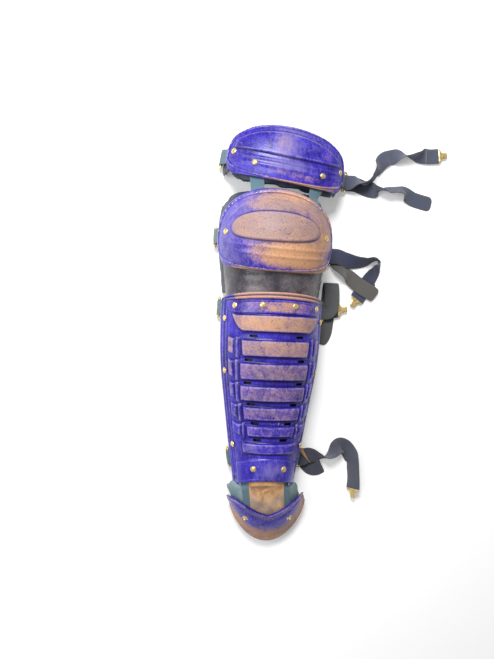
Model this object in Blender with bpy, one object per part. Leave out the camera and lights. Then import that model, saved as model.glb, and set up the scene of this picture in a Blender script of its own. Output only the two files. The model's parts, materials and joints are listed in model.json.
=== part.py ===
# Catcher leg guard, lying on its back on the floor with its straps to one side.
# Metres, +Z up, +Y from the toe to the thigh. The shin's axis is the line x = 0 while the
# pieces are made, and at the end all of them move so that the origin is under their middle.
import math

import bmesh
import bpy
import numpy as np
from mathutils import Vector
from mathutils.bvhtree import BVHTree

for old_object in list(bpy.data.objects):
    bpy.data.objects.remove(old_object, do_unlink=True)

# Lengths along the leg
SHIN_LENGTH = 0.290
BRIDGE_SHOWING = 0.0284
KNEE_LENGTH = 0.126
THIGH_LENGTH = 0.0925
TOE_LENGTH = 0.095
THIGH_GAP = 0.012
# Half widths and heights of the padded trough that the plates sit on
KNEE_HALF_WIDTH = 0.083
KNEE_CREST = 0.108
THIGH_HALF_WIDTH = 0.091
THIGH_CREST = 0.076
TOE_HALF_WIDTH = 0.057
TOE_CREST = 0.062
TOE_RIM_HEIGHT = 0.012
# Turns of the upper pieces against the shin, clockwise from above
KNEE_TURN = math.radians(1.5)
THIGH_TURN = math.radians(6.6)
KNEE_ROLL = -7.0
THIGH_OFFSET = 0.0135
TOE_OFFSET = 0.012
# Walls and clearances
PAD_THICKNESS = 0.008
PLATE_WALL = 0.003
SEAM_ROOM = 0.0033
WEBBING_THICKNESS = 0.0013
FIT_GAP = 0.0005
PAD_FLARE = 0.005
FLOOR_TURN = 120.0
# Edges of the plates: degrees each way round the trough, and shares of their own lengths
SHIN_HALF_ANGLE = 85.0
KNEE_HALF_ANGLE = 77.0
KNEE_WIDEST = 0.28
THIGH_HALF_ANGLE = 77.0
THIGH_WIDEST = 0.36
TOE_HALF_ANGLE = 84.0
TOE_NOTCH = 0.46
TOE_HORN = 0.25
TOE_SHARES = (0.0, 0.12, 0.26, 0.40, 0.56, 0.78, 1.0, 1.2)
# Relief of the moulded plates
PANEL_RISE = 0.0026
BEAD_RISE = 0.0016
KNEE_DOME = 0.011
# Fastenings
RIVET_HEAD = 0.0046
RIVET_RISE = 0.0019
RIVET_SHANK = 0.0019
RIVET_CLEARANCE = 0.00045
SLOT_LENGTH = 0.013
SLOT_WIDTH = 0.004
STRAP_WIDTH = 0.0254
STRAP_THICKNESS = 0.0014
RING_WIRE = 0.0015
RING_ROOM = 0.029
RING_PITCH = 0.0105
RING_CORNER = 0.0024
DRING_DEPTH = 0.012
TAB_WIDTH = 0.024
TAB_REACH = 0.0115
TAB_HEIGHT = 0.0125
LEFT_TAB_REACH = 0.0078
LEFT_TAB_HEIGHT = 0.0138
LINK_HALF_ANGLE = 8.0
INSTEP_HALF_WIDTH = 0.0265
INSTEP_STRIP = 0.0095
INSTEP_THICKNESS = 0.0018
HOOK_LENGTH = 0.0145
HOOK_TONGUE = 0.0095
HOOK_THICKNESS = 0.0013
HOOK_CURL = 0.0016
STRAP_STEP = 0.0078
FLOOR_CLEARANCE = 0.0001
# Reach of each strap from its ring to its hook
THIGH_REACH = 0.170
KNEE_REACH = 0.086
CALF_REACH = 0.034
ANKLE_REACH = 0.096

LEG_LENGTH = SHIN_LENGTH + BRIDGE_SHOWING + KNEE_LENGTH
KNEE_START = SHIN_LENGTH + BRIDGE_SHOWING
THIGH_MIDDLE = LEG_LENGTH + THIGH_GAP + THIGH_LENGTH / 2
PLATE_TOP = SEAM_ROOM + PLATE_WALL
RING_OUTER_HEIGHT = RING_WIRE + 2.6 * STRAP_THICKNESS + FIT_GAP

# The trough: along is a share of LEG_LENGTH, half_width of KNEE_HALF_WIDTH, crest and spring of
# KNEE_CREST. Spring is the height where the sides stand upright.
LEG_COLUMNS = ("along", "half_width", "crest", "spring")
LEG_ROWS = (
    (-0.04, 0.47, 0.63, 0.20),
    (0.10, 0.60, 0.64, 0.215),
    (0.27, 0.74, 0.72, 0.24),
    (0.40, 0.84, 0.80, 0.27),
    (0.58, 0.88, 0.86, 0.29),
    (0.66, 0.875, 0.885, 0.305),
    (0.74, 0.935, 0.945, 0.33),
    (0.83, 1.0, 1.0, 0.35),
    (0.92, 0.985, 0.945, 0.33),
    (1.03, 0.86, 0.70, 0.26),
)
# The thigh board: along is a share of THIGH_LENGTH from its middle, the rest of its own sizes.
THIGH_COLUMNS = ("along", "half_width", "crest", "spring")
THIGH_ROWS = (
    (-0.60, 0.94, 0.97, 0.36),
    (-0.30, 1.0, 1.0, 0.38),
    (0.00, 1.0, 0.98, 0.38),
    (0.25, 0.98, 0.90, 0.36),
    (0.55, 0.90, 0.68, 0.30),
)
# Raised panels of the shin plate: lower and upper are shares of SHIN_LENGTH, half_angle in degrees.
PANEL_COLUMNS = ("lower", "upper", "half_angle")
PANEL_ROWS = (
    (0.790, 0.882, 50.0),
    (0.663, 0.753, 42.0),
    (0.542, 0.633, 44.0),
    (0.430, 0.515, 44.0),
    (0.330, 0.405, 42.0),
    (0.243, 0.305, 38.0),
    (0.150, 0.217, 44.0),
)
# Vent slots in the grooves between the panels, one on each side.
SLOT_COLUMNS = ("along", "angle")
SLOT_ROWS = (
    (0.772, 26.5),
    (0.648, 31.5),
    (0.528, 33.0),
    (0.417, 29.0),
    (0.317, 23.5),
    (0.230, 20.0),
)
# Rivets: along is a share of SHIN_LENGTH, angle in degrees round the trough.
SHIN_RIVET_COLUMNS = ("name", "along", "angle")
SHIN_RIVET_ROWS = (
    ("rivet_top_outer", 0.930, 52.0),
    ("rivet_top_inner", 0.932, 18.0),
    ("rivet_flange_upper", 0.835, 69.0),
    ("rivet_flange_lower", 0.560, 69.0),
    ("rivet_side", 0.165, 66.0),
    ("rivet_ankle", 0.072, 26.0),
)


def rows_as_columns(names, rows):
    """Turns a table of rows into one array for each named column."""
    return {name: np.array([row[k] for row in rows]) for k, name in enumerate(names)}


def smooth_read(at, places, values):
    """Reads a cubic curve through (places, values), with straight ends."""
    at = np.asarray(at, float)
    slopes = np.gradient(values, places)
    k = np.clip(np.searchsorted(places, at) - 1, 0, len(places) - 2)
    step = places[k + 1] - places[k]
    t = np.clip((at - places[k]) / step, 0.0, 1.0)
    first = (1 + 2 * t) * (1 - t) ** 2 * values[k] + t * (1 - t) ** 2 * step * slopes[k]
    second = t * t * (3 - 2 * t) * values[k + 1] + t * t * (t - 1) * step * slopes[k + 1]
    return first + second


def box_curve(at, low, high, ramp):
    """Is 1 between low and high and falls to 0 over ramp at both ends, inside the range."""
    rise = np.clip((at - low) / ramp, 0.0, 1.0)
    fall = np.clip((high - at) / ramp, 0.0, 1.0)
    return np.minimum(rise, fall)


def named_rows(names, rows):
    """Turns a table of rows into one dictionary for each row."""
    return [dict(zip(names, row)) for row in rows]


LEG = rows_as_columns(LEG_COLUMNS, LEG_ROWS)
THIGH = rows_as_columns(THIGH_COLUMNS, THIGH_ROWS)
PANELS = named_rows(PANEL_COLUMNS, PANEL_ROWS)
SLOTS = named_rows(SLOT_COLUMNS, SLOT_ROWS)
SHIN_RIVETS = named_rows(SHIN_RIVET_COLUMNS, SHIN_RIVET_ROWS)


def bend_round(angle, half, crest, spring, lift, flare):
    """Wraps a point round an arch: an ellipse to 90 degrees, then down to the floor."""
    turn = np.radians(np.clip(angle, -90.0, 90.0))
    past = np.clip((np.abs(angle) - 90.0) / (FLOOR_TURN - 90.0), 0.0, 1.0)
    across = (half + lift + flare * past) * np.sin(turn)
    up = (spring + (crest - spring + lift) * np.cos(turn)) * (1.0 - past)
    return across, up


def leg_point(angle, along, lift):
    """A point over the trough: degrees round it, distance along it, height above the pad."""
    angle, along, lift = np.broadcast_arrays(angle, along, lift)
    share = along / LEG_LENGTH
    half = smooth_read(share, LEG["along"], LEG["half_width"]) * KNEE_HALF_WIDTH
    crest = smooth_read(share, LEG["along"], LEG["crest"]) * KNEE_CREST
    spring = smooth_read(share, LEG["along"], LEG["spring"]) * KNEE_CREST
    across, up = bend_round(angle, half, crest, spring, lift, PAD_FLARE)
    return np.stack([across, along, up], -1)


def thigh_point(angle, along, lift):
    """A point over the thigh board, whose own axis is turned and moved to its place."""
    angle, along, lift = np.broadcast_arrays(angle, along, lift)
    share = along / THIGH_LENGTH
    half = smooth_read(share, THIGH["along"], THIGH["half_width"]) * THIGH_HALF_WIDTH
    crest = smooth_read(share, THIGH["along"], THIGH["crest"]) * THIGH_CREST
    spring = smooth_read(share, THIGH["along"], THIGH["spring"]) * THIGH_CREST
    across, up = bend_round(angle, half, crest, spring, lift, PAD_FLARE)
    cos_turn = math.cos(THIGH_TURN)
    sin_turn = math.sin(THIGH_TURN)
    x = THIGH_OFFSET + across * cos_turn + along * sin_turn
    y = THIGH_MIDDLE - across * sin_turn + along * cos_turn
    return np.stack([x, y, up], -1)


def toe_point(angle, share, lift):
    """A point over the foot: angle sweeps the rim, share runs from the ankle edge to the rim."""
    angle, share, lift = np.broadcast_arrays(angle, share, lift)

    def surface(sweep, run):
        turn = np.radians(np.clip(sweep, -90.0, 90.0))
        sine = np.sin(turn)
        cosine = np.maximum(np.cos(turn), 0.0)
        past = np.clip((np.abs(sweep) - 90.0) / (FLOOR_TURN - 90.0), 0.0, 1.0)
        run_in = np.clip(run, 0.0, 1.0)
        drop = np.clip((run - 1.0) / 0.2, 0.0, 1.0)
        top_y = -0.080 - 0.10 * sine**2
        rim_y = -0.36 - 0.64 * cosine**1.3
        y = (top_y + (rim_y - top_y) * run_in) * (TOE_LENGTH + 0.008)
        x = TOE_OFFSET * run_in + TOE_HALF_WIDTH * sine * (1.0 - 0.02 * run_in)
        top_z = 0.27 * TOE_CREST + 0.73 * TOE_CREST * cosine**0.9
        z = TOE_RIM_HEIGHT + (top_z - TOE_RIM_HEIGHT) * np.cos(run_in * math.pi / 2)
        return np.stack([x, y, z * (1.0 - past) * (1.0 - drop)], -1)

    step = 0.5
    across = surface(angle + step, share) - surface(angle - step, share)
    down = surface(angle, share + 0.01) - surface(angle, share - 0.01)
    normal = np.cross(down, across)
    normal /= np.maximum(np.linalg.norm(normal, axis=-1, keepdims=True), 1e-12)
    beyond = (np.abs(angle) >= 90.0) | (share >= 1.0)
    normal[..., 2] = np.where(beyond, 0.0, np.abs(normal[..., 2]))
    normal /= np.maximum(np.linalg.norm(normal, axis=-1, keepdims=True), 1e-12)
    return surface(angle, share) + normal * lift[..., None]


def material_for(name, colour, roughness, metallic=0.0):
    """A Principled material with the piece's colour and finish."""
    made = bpy.data.materials.get(name)
    if made:
        return made
    made = bpy.data.materials.new(name)
    made.use_nodes = True
    shader = made.node_tree.nodes["Principled BSDF"]
    shader.inputs["Base Color"].default_value = (*colour, 1.0)
    shader.inputs["Roughness"].default_value = roughness
    shader.inputs["Metallic"].default_value = metallic
    return made


def plastic():
    return material_for("royal_blue_plastic", (0.06, 0.05, 0.45), 0.35)


def padding():
    return material_for("navy_padding", (0.03, 0.05, 0.12), 0.8)


def webbing():
    return material_for("slate_webbing", (0.10, 0.18, 0.24), 0.85)


def elastic():
    return material_for("grey_elastic", (0.10, 0.11, 0.16), 0.85)


def brass():
    return material_for("brass", (0.75, 0.58, 0.30), 0.3, 1.0)


def make_object(name, points, faces, material, smooth_angle=35.0):
    """Makes one closed mesh object with its faces pointing out."""
    mesh = bpy.data.meshes.new(name)
    mesh.from_pydata([tuple(p) for p in points], [], faces)
    work = bmesh.new()
    work.from_mesh(mesh)
    bmesh.ops.triangulate(work, faces=work.faces)
    bmesh.ops.recalc_face_normals(work, faces=work.faces)
    work.to_mesh(mesh)
    work.free()
    mesh.shade_smooth()
    mesh.set_sharp_from_angle(angle=math.radians(smooth_angle))
    made = bpy.data.objects.new(name, mesh)
    bpy.context.scene.collection.objects.link(made)
    if material:
        made.data.materials.append(material)
    return made


def zip_edges(first, second):
    """Joins two runs of vertices, which may differ in number, with a strip of triangles."""
    faces = []
    i = 0
    k = 0
    while i < len(first) - 1 or k < len(second) - 1:
        ahead = (i + 1) / (len(first) - 1)
        behind = (k + 1) / (len(second) - 1)
        if k == len(second) - 1 or (i < len(first) - 1 and ahead <= behind + 1e-9):
            faces.append((first[i], second[k], first[i + 1]))
            i += 1
        else:
            faces.append((first[i], second[k], second[k + 1]))
            k += 1
    return faces


def closed_shell(name, outer, inner, material):
    """Closes a wall between an outer and an inner grid of points, whose counts may differ."""
    points = []
    faces = []
    rims = []
    for grid, flip in ((outer, False), (inner, True)):
        rows, columns = grid.shape[:2]
        start = len(points)
        index = start + np.arange(rows * columns).reshape(rows, columns)
        points.extend(grid.reshape(-1, 3))
        for r in range(rows - 1):
            for c in range(columns - 1):
                quad = (index[r, c], index[r, c + 1], index[r + 1, c + 1], index[r + 1, c])
                faces.append(quad[::-1] if flip else quad)
        rims.append((index[0], index[:, -1], index[-1][::-1], index[:, 0][::-1]))
    for side_outer, side_inner in zip(*rims):
        faces.extend(zip_edges(list(side_outer), list(side_inner)))
    faces = [tuple(int(v) for v in face) for face in faces]
    return make_object(name, points, faces, material)


def band_corners(centres, widths, wides, thick):
    """The four corners of each cross section of a flat band."""
    tangent = np.gradient(centres, axis=0)
    tangent /= np.linalg.norm(tangent, axis=1, keepdims=True)
    across = widths - (widths * tangent).sum(1, keepdims=True) * tangent
    across /= np.linalg.norm(across, axis=1, keepdims=True)
    half = (across.T * wides / 2).T
    rise = np.cross(tangent, across) * thick / 2
    return np.stack([centres - half - rise, centres + half - rise,
                     centres + half + rise, centres - half + rise], 1)


def ribbon(name, centres, widths, wides, thick, material):
    """Sweeps a flat band along centres, with its width along the given directions."""
    centres = np.asarray(centres)
    points = band_corners(centres, widths, wides, thick).reshape(-1, 3)
    faces = [(0, 3, 2, 1)]
    for k in range(len(centres) - 1):
        a = 4 * k
        for c in range(4):
            d = (c + 1) % 4
            faces.append((a + c, a + d, a + 4 + d, a + 4 + c))
    last = 4 * (len(centres) - 1)
    faces.append((last, last + 1, last + 2, last + 3))
    return make_object(name, points, faces, material)


def drill(target, cutters):
    """Cuts all the closed shapes of one cutter object out of a target."""
    cutters.hide_render = True
    cutters.display_type = "WIRE"
    cut = target.modifiers.new("openings", "BOOLEAN")
    cut.operation = "DIFFERENCE"
    cut.solver = "EXACT"
    cut.object = cutters


def frame_at(surface, angle, along, lift):
    """The point, the two directions along a surface and its outward normal at one place."""
    here = surface(angle, along, lift)
    outward = surface(angle, along, lift + 0.001) - here
    sideways = surface(angle + 0.5, along, lift) - surface(angle - 0.5, along, lift)
    forward = surface(angle, along + 0.0005, lift) - surface(angle, along - 0.0005, lift)
    sideways /= np.linalg.norm(sideways)
    normal = np.cross(sideways, forward)
    normal /= np.linalg.norm(normal)
    if normal.dot(outward) < 0.0:
        normal = -normal
    forward = np.cross(normal, sideways)
    return here, sideways, forward, normal


def prism(frame, outline, low, high):
    """Points and faces of an upright prism over an outline in a surface's own frame."""
    here, sideways, forward, normal = frame
    count = len(outline)
    points = [here + a * sideways + b * forward + h * normal for h in (low, high) for a, b in outline]
    faces = [tuple(range(count))[::-1], tuple(range(count, 2 * count))]
    faces += [(k, (k + 1) % count, count + (k + 1) % count, count + k) for k in range(count)]
    return points, faces


def joined_cutter(name, shapes):
    """One object that holds several separate closed prisms."""
    points = []
    faces = []
    for shape_points, shape_faces in shapes:
        start = len(points)
        points.extend(shape_points)
        faces.extend(tuple(start + v for v in face) for face in shape_faces)
    return make_object(name, points, faces, None)


def slot_outline():
    """A slot with cut corners, in its own plane."""
    half = SLOT_LENGTH / 2
    side = SLOT_WIDTH / 2
    corner = side * 0.7
    return [(half, -side + corner), (half, side - corner), (half - corner, side),
            (-half + corner, side), (-half, side - corner), (-half, -side + corner),
            (-half + corner, -side), (half - corner, -side)]


def round_outline(radius, sides=6):
    """Corners of a regular polygon."""
    return [(radius * math.cos(2 * math.pi * k / sides), radius * math.sin(2 * math.pi * k / sides))
            for k in range(sides)]


def seat_height(skin, frame):
    """How far the highest facet under a rivet's head stands above the frame's point."""
    here, sideways, forward, normal = frame
    start = 0.02
    highest = 0.0
    for a, b in [(0.0, 0.0)] + round_outline(RIVET_HEAD) + round_outline(0.6 * RIVET_HEAD):
        above = here + a * sideways + b * forward + start * normal
        _, _, _, distance = skin.ray_cast(Vector(above), Vector(-normal))
        if distance is not None:
            highest = max(highest, start - distance)
    return highest


def rivet(name, frame, seat, sides=6):
    """A domed head on its seat with a shank in the drilled hole."""
    here, sideways, forward, normal = frame
    profile = ((0.74 * RIVET_HEAD, seat + 0.66 * RIVET_RISE), (RIVET_HEAD, seat),
               (RIVET_SHANK, seat), (RIVET_SHANK, -PLATE_WALL))
    points = [here + normal * (seat + RIVET_RISE)]
    for radius, height in profile:
        for a, b in round_outline(radius, sides):
            points.append(here + a * sideways + b * forward + height * normal)
    points.append(here - normal * PLATE_WALL)
    last = len(points) - 1
    faces = []
    for k in range(sides):
        nxt = (k + 1) % sides
        faces.append((0, 1 + k, 1 + nxt))
        for ring in range(len(profile) - 1):
            a = 1 + ring * sides
            faces.append((a + k, a + sides + k, a + sides + nxt, a + nxt))
        a = 1 + (len(profile) - 1) * sides
        faces.append((a + k, last, a + nxt))
    return make_object(name, points, faces, brass())


def fit_rivets(plate, surface, places):
    """Drills a plate for rivets at (name, angle, along) and seats the rivets in it."""
    shapes = []
    mesh = plate.data
    skin = BVHTree.FromPolygons([v.co for v in mesh.vertices], [p.vertices for p in mesh.polygons])
    for name, angle, along in places:
        frame = frame_at(surface, angle, along, 0.0)
        rivet(name, frame, seat_height(skin, frame) + 0.6 * FIT_GAP)
        hole = round_outline(RIVET_SHANK + RIVET_CLEARANCE)
        shapes.append(prism(frame, hole, -2.5 * PLATE_WALL, PLATE_WALL))
    drill(plate, joined_cutter(plate.name + "_holes", shapes))


# Shin


def shin_edges(angle):
    """The lower and upper ends of the shin plate round the trough, which both droop sideways."""
    turn = np.abs(angle) / 80.0
    corner = np.clip((np.abs(angle) - 70.0) / (SHIN_HALF_ANGLE - 70.0), 0.0, 1.0)
    lower = (0.014 - 0.060 * turn**2 + 0.015 * corner**2) * SHIN_LENGTH
    upper = (1.0 - 0.030 * turn**2 - 0.025 * corner**2) * SHIN_LENGTH
    return lower, upper


def shin_along(angle, share):
    """Distance along the leg for a share of the shin, with grooves that sweep up at the sides."""
    angle, share = np.broadcast_arrays(np.asarray(angle, float), np.asarray(share, float))
    lower, upper = shin_edges(angle)
    straight = share * SHIN_LENGTH
    near_top = np.clip((share - 0.85) / 0.15, 0.0, 1.0)
    near_foot = np.clip((0.15 - share) / 0.15, 0.0, 1.0)
    sweep = 0.007 * np.clip((np.abs(angle) - 44.0) / 20.0, 0.0, 1.0) ** 1.5
    place = straight + sweep * (1.0 - near_top) * (1.0 - near_foot)
    place = place + (upper - SHIN_LENGTH) * near_top + lower * near_foot
    return place


def shin_relief(angle, share):
    """Height of the moulded panels, channels and beads above the plate's own surface."""
    angle, share = np.broadcast_arrays(np.asarray(angle, float), np.asarray(share, float))
    wide = np.abs(angle)
    height = np.zeros(angle.shape)
    ramp = 0.010
    for panel in PANELS:
        along = box_curve(share, panel["lower"], panel["upper"], ramp)
        main = box_curve(wide, -panel["half_angle"], panel["half_angle"], 4.0)
        side = box_curve(wide, 50.0, 62.0, 3.0)
        height = np.maximum(height, PANEL_RISE * along * np.maximum(main, side * 0.8))
    channel = box_curve(wide, 44.5, 49.0, 2.0) * box_curve(share, 0.24, 0.78, 0.02)
    height = np.maximum(height, BEAD_RISE * channel)
    flange = np.maximum(box_curve(wide, 72.0, 77.0, 2.4), box_curve(wide, 81.0, 88.0, 3.0))
    height = np.maximum(height, BEAD_RISE * flange)
    lip = np.maximum(box_curve(share, 0.962, 0.984, 0.010), box_curve(share, 0.988, 1.02, 0.008))
    foot = box_curve(share, -0.05, 0.022, 0.010)
    return np.maximum(height, BEAD_RISE * np.maximum(lip, foot))


def shin_surface(angle, share, lift=0.0):
    """The shin plate's outer face."""
    outer = PLATE_TOP + shin_relief(angle, share) + lift
    return leg_point(angle, shin_along(angle, share), outer)


def shin_plate():
    """The long moulded plate with raised panels, side channels and vent slots."""
    sides = (0.0, 14.0, 28.0, 38.0, 43.0, 47.0, 50.5, 53.0, 59.5, 63.0, 71.5, 74.5, 79.0,
             SHIN_HALF_ANGLE)
    angles = np.array([-a for a in sides[:0:-1]] + list(sides))
    shares = [0.0, 0.022, 0.09, 0.93, 0.965, 0.982, 1.0]
    for panel in PANELS:
        lower = panel["lower"]
        upper = panel["upper"]
        shares += [lower, lower + 0.010, upper - 0.010, upper]
    shares = np.array(sorted(shares))
    outer = shin_surface(angles[None, :], shares[:, None])
    inner_angles = np.linspace(-SHIN_HALF_ANGLE, SHIN_HALF_ANGLE, 17)
    inner_shares = np.linspace(0.0, 1.0, 11)
    inner_along = shin_along(inner_angles[None, :], inner_shares[:, None])
    inner = leg_point(inner_angles[None, :], inner_along, SEAM_ROOM)
    plate = closed_shell("shin_plate", outer, inner, plastic())
    shapes = []
    for slot in SLOTS:
        for side in (-1, 1):
            frame = frame_at(shin_surface, side * slot["angle"], slot["along"], 0.0)
            shapes.append(prism(frame, slot_outline(), -2.5 * PLATE_WALL, 2 * PANEL_RISE))
    drill(plate, joined_cutter("shin_slots", shapes))
    places = []
    for row in SHIN_RIVETS:
        places.append((row["name"] + "_left", -row["angle"], row["along"]))
        places.append((row["name"] + "_right", row["angle"], row["along"]))
    fit_rivets(plate, shin_surface, places)


def pad_shell(name, surface, edges, counts, material):
    """A padded trough between two edge curves, whose wings end flat on the floor."""
    skins = []
    for columns, rows, lift in ((*counts[0], 0.0), (*counts[1], -PAD_THICKNESS)):
        angles = np.linspace(-FLOOR_TURN, FLOOR_TURN, columns)
        lower, upper = edges(angles)
        along = lower + (upper - lower) * np.linspace(0.0, 1.0, rows)[:, None]
        skins.append(surface(angles[None, :], along, lift))
    return closed_shell(name, *skins, material)


def shin_pad():
    """The padding behind the shin plate, a little past its lower edge."""

    def edges(angles):
        lower, upper = shin_edges(np.clip(angles, -SHIN_HALF_ANGLE, SHIN_HALF_ANGLE))
        return lower - 0.001, np.full(angles.shape, SHIN_LENGTH - 0.004)

    pad_shell("shin_pad", leg_point, edges, ((21, 8), (13, 5)), padding())


def knee_bridge():
    """The flexible band that shows between the knee plate and the shin plate."""
    tuck = 0.014
    skins = []
    angles = np.linspace(-0.7 * FLOOR_TURN, 0.7 * FLOOR_TURN, 15)[None, :]
    low = SHIN_LENGTH - tuck + 0.4 * tuck * np.clip(np.abs(angles) / 24.0 - 2.0, 0.0, 1.0)
    along = low + (KNEE_START + tuck - low) * np.linspace(0.0, 1.0, 4)[:, None]
    for lift in (SEAM_ROOM - 2 * FIT_GAP, 1.8 * FIT_GAP):
        skins.append(leg_point(angles, along, lift))
    closed_shell("knee_bridge", *skins, material_for("grey_band", (0.12, 0.12, 0.13), 0.3))


# Knee


def domed_outline(u, v, half_angle, low_part, high_part, low_round, high_round):
    """Maps a square to a rounded plate: degrees round the trough and distance from its widest line."""
    bend = np.where(v > 0.0, high_round, low_round)
    angle = half_angle * u * np.sqrt(1.0 - bend * v**2)
    along = v * np.sqrt(1.0 - bend * u**2) * np.where(v > 0.0, high_part, low_part)
    return angle, along


def knee_place(angle, from_widest):
    """Distance along the leg of a point of the knee, sheared by the knee's turn."""
    across = KNEE_HALF_WIDTH * np.sin(np.radians(angle))
    return KNEE_START + KNEE_WIDEST * KNEE_LENGTH + from_widest - math.tan(KNEE_TURN) * across


def knee_relief(angle, from_widest):
    """Dome, rim bead, lens panel and lower ribs of the knee plate."""
    high = (1.0 - KNEE_WIDEST) * KNEE_LENGTH
    low = KNEE_WIDEST * KNEE_LENGTH
    reach = np.where(from_widest > 0.0, high, low)
    radius = np.sqrt((angle / KNEE_HALF_ANGLE) ** 2 + (from_widest / reach) ** 2)
    across = np.clip(1.0 - (angle / (KNEE_HALF_ANGLE + 4.0)) ** 2, 0.0, 1.0)
    dome = KNEE_DOME * across * np.clip(1.0 - (from_widest / reach) ** 2, 0.0, 1.0) ** 0.6
    bead = BEAD_RISE * box_curve(radius, 0.86, 0.97, 0.05)
    share = from_widest / KNEE_LENGTH
    lens_up = (share - 0.14) / np.where(share > 0.14, 0.27, 0.10)
    lens = np.sqrt((angle / 42.0) ** 2 + np.abs(lens_up) ** 2.4)
    panel = PANEL_RISE * np.clip((1.0 - lens) / 0.14, 0.0, 1.0)
    rib = 0.5 * BEAD_RISE * box_curve(share, -0.15, -0.07, 0.03) * box_curve(np.abs(angle), -40, 40, 12)
    return dome + np.maximum(np.maximum(bead, panel), rib)


def knee_surface(angle, from_widest, lift=0.0):
    """The knee plate's outer face."""
    rise = PLATE_TOP + knee_relief(angle, from_widest) + lift
    turned = angle + KNEE_ROLL
    return leg_point(turned, knee_place(turned, from_widest), rise)


def knee_plate():
    """The domed knee cap plate."""
    low = KNEE_WIDEST * KNEE_LENGTH
    high = (1.0 - KNEE_WIDEST) * KNEE_LENGTH

    def grids(columns, rows):
        u = np.linspace(-1.0, 1.0, columns)[None, :]
        v = np.linspace(-1.0, 1.0, rows)[:, None]
        u = np.sign(u) * np.abs(u) ** 0.9
        return domed_outline(u, v, KNEE_HALF_ANGLE, low, high, 0.38, 0.52)

    angle, from_widest = grids(21, 18)
    outer = knee_surface(angle, from_widest)
    angle, from_widest = grids(13, 11)
    dome = knee_relief(angle, from_widest)
    dome_only = np.maximum(dome - PANEL_RISE, 0.0)
    turned = angle + KNEE_ROLL
    inner = leg_point(turned, knee_place(turned, from_widest), SEAM_ROOM + dome_only)
    plate = closed_shell("knee_plate", outer, inner, plastic())
    rivet_line = 0.17 * KNEE_LENGTH
    places = [("rivet_knee_left", -52.0, rivet_line), ("rivet_knee_right", 52.0, rivet_line)]
    fit_rivets(plate, knee_surface, places)


def knee_pad():
    """The padded backing of the knee, with wings that stand on the floor."""

    def edges(angles):
        corner = np.clip((np.abs(angles) - 35.0) / 85.0, 0.0, 1.0)
        across = KNEE_HALF_WIDTH * np.sin(np.radians(np.clip(angles, -90, 90)))
        upper = LEG_LENGTH + 0.001 - math.tan(KNEE_TURN) * across - 0.055 * corner**2
        lower = np.full(angles.shape, SHIN_LENGTH - 0.003)
        return lower, upper

    pad_shell("knee_pad", leg_point, edges, ((21, 9), (13, 4)), padding())


# Thigh


def thigh_relief(angle, from_widest):
    """Rim bead, half-moon panel and lower ribs of the thigh plate."""
    high = (1.0 - THIGH_WIDEST) * THIGH_LENGTH
    low = THIGH_WIDEST * THIGH_LENGTH
    reach = np.where(from_widest > 0.0, high, low)
    radius = np.sqrt((angle / THIGH_HALF_ANGLE) ** 2 + (from_widest / reach) ** 2)
    bead = 0.7 * BEAD_RISE * box_curve(radius, 0.88, 0.97, 0.04)
    share = from_widest / THIGH_LENGTH
    up = (share - 0.03) / 0.47
    moon = np.maximum(np.sqrt((angle / 62.0) ** 2 + np.abs(up) ** 2.2), 1.0 - up * 6.0)
    panel = PANEL_RISE * np.clip((1.0 - moon) / 0.15, 0.0, 1.0)
    rib = 0.6 * BEAD_RISE * box_curve(share, -0.20, -0.11, 0.03) * box_curve(np.abs(angle), -58, 58, 12)
    return np.maximum(np.maximum(bead, panel), rib)


def thigh_surface(angle, from_widest, lift=0.0):
    """The thigh plate's outer face."""
    along = from_widest + (THIGH_WIDEST - 0.5) * THIGH_LENGTH
    return thigh_point(angle, along, PLATE_TOP + thigh_relief(angle, from_widest) + lift)


def thigh_plate():
    """The half-moon plate over the lower thigh."""
    low = THIGH_WIDEST * THIGH_LENGTH
    high = (1.0 - THIGH_WIDEST) * THIGH_LENGTH

    def grids(columns, rows):
        u = np.linspace(-1.0, 1.0, columns)[None, :]
        v = np.linspace(-1.0, 1.0, rows)[:, None]
        return domed_outline(u, v, THIGH_HALF_ANGLE, low, high, 0.34, 0.56)

    angle, from_widest = grids(21, 14)
    outer = thigh_surface(angle, from_widest)
    angle, from_widest = grids(15, 7)
    along = from_widest + (THIGH_WIDEST - 0.5) * THIGH_LENGTH
    inner = thigh_point(angle, along, SEAM_ROOM)
    plate = closed_shell("thigh_plate", outer, inner, plastic())
    places = []
    for name, angle, share in (("outer", 61.0, 0.06), ("inner", 33.0, -0.12)):
        places.append(("rivet_thigh_" + name + "_left", -angle, share * THIGH_LENGTH))
        places.append(("rivet_thigh_" + name + "_right", angle, share * THIGH_LENGTH))
    fit_rivets(plate, thigh_surface, places)


def thigh_pad():
    """The padded backing of the thigh plate, with wings that stand on the floor."""

    def edges(angles):
        spread = np.clip(np.abs(angles) / (THIGH_HALF_ANGLE + 3.0), 0.0, 1.0)
        arch = np.sqrt(1.0 - spread**2)
        wing = 0.10 * THIGH_LENGTH
        middle = (THIGH_WIDEST - 0.5) * THIGH_LENGTH
        high = (1.0 - THIGH_WIDEST) * THIGH_LENGTH + 0.002
        low = THIGH_WIDEST * THIGH_LENGTH + 0.005
        upper = middle + np.maximum(high * arch, wing)
        lower = middle - np.maximum(low * (1.0 - spread**4) ** 0.5, 2.0 * wing)
        return lower, upper

    pad_shell("thigh_pad", thigh_point, edges, ((21, 6), (13, 4)), padding())


def laid_sheet(name, rows, columns, material, thickness):
    """A sheet between pads and plates: rows name a surface, two angles and a place along it."""
    skins = [[], []]
    for surface, low, high, along in rows:
        angles = np.linspace(low, high, columns)
        skins[0].append(surface(angles, along, FIT_GAP + thickness))
        skins[1].append(surface(angles, along, FIT_GAP))
    return closed_shell(name, np.array(skins[0]), np.array(skins[1]), material)


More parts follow.
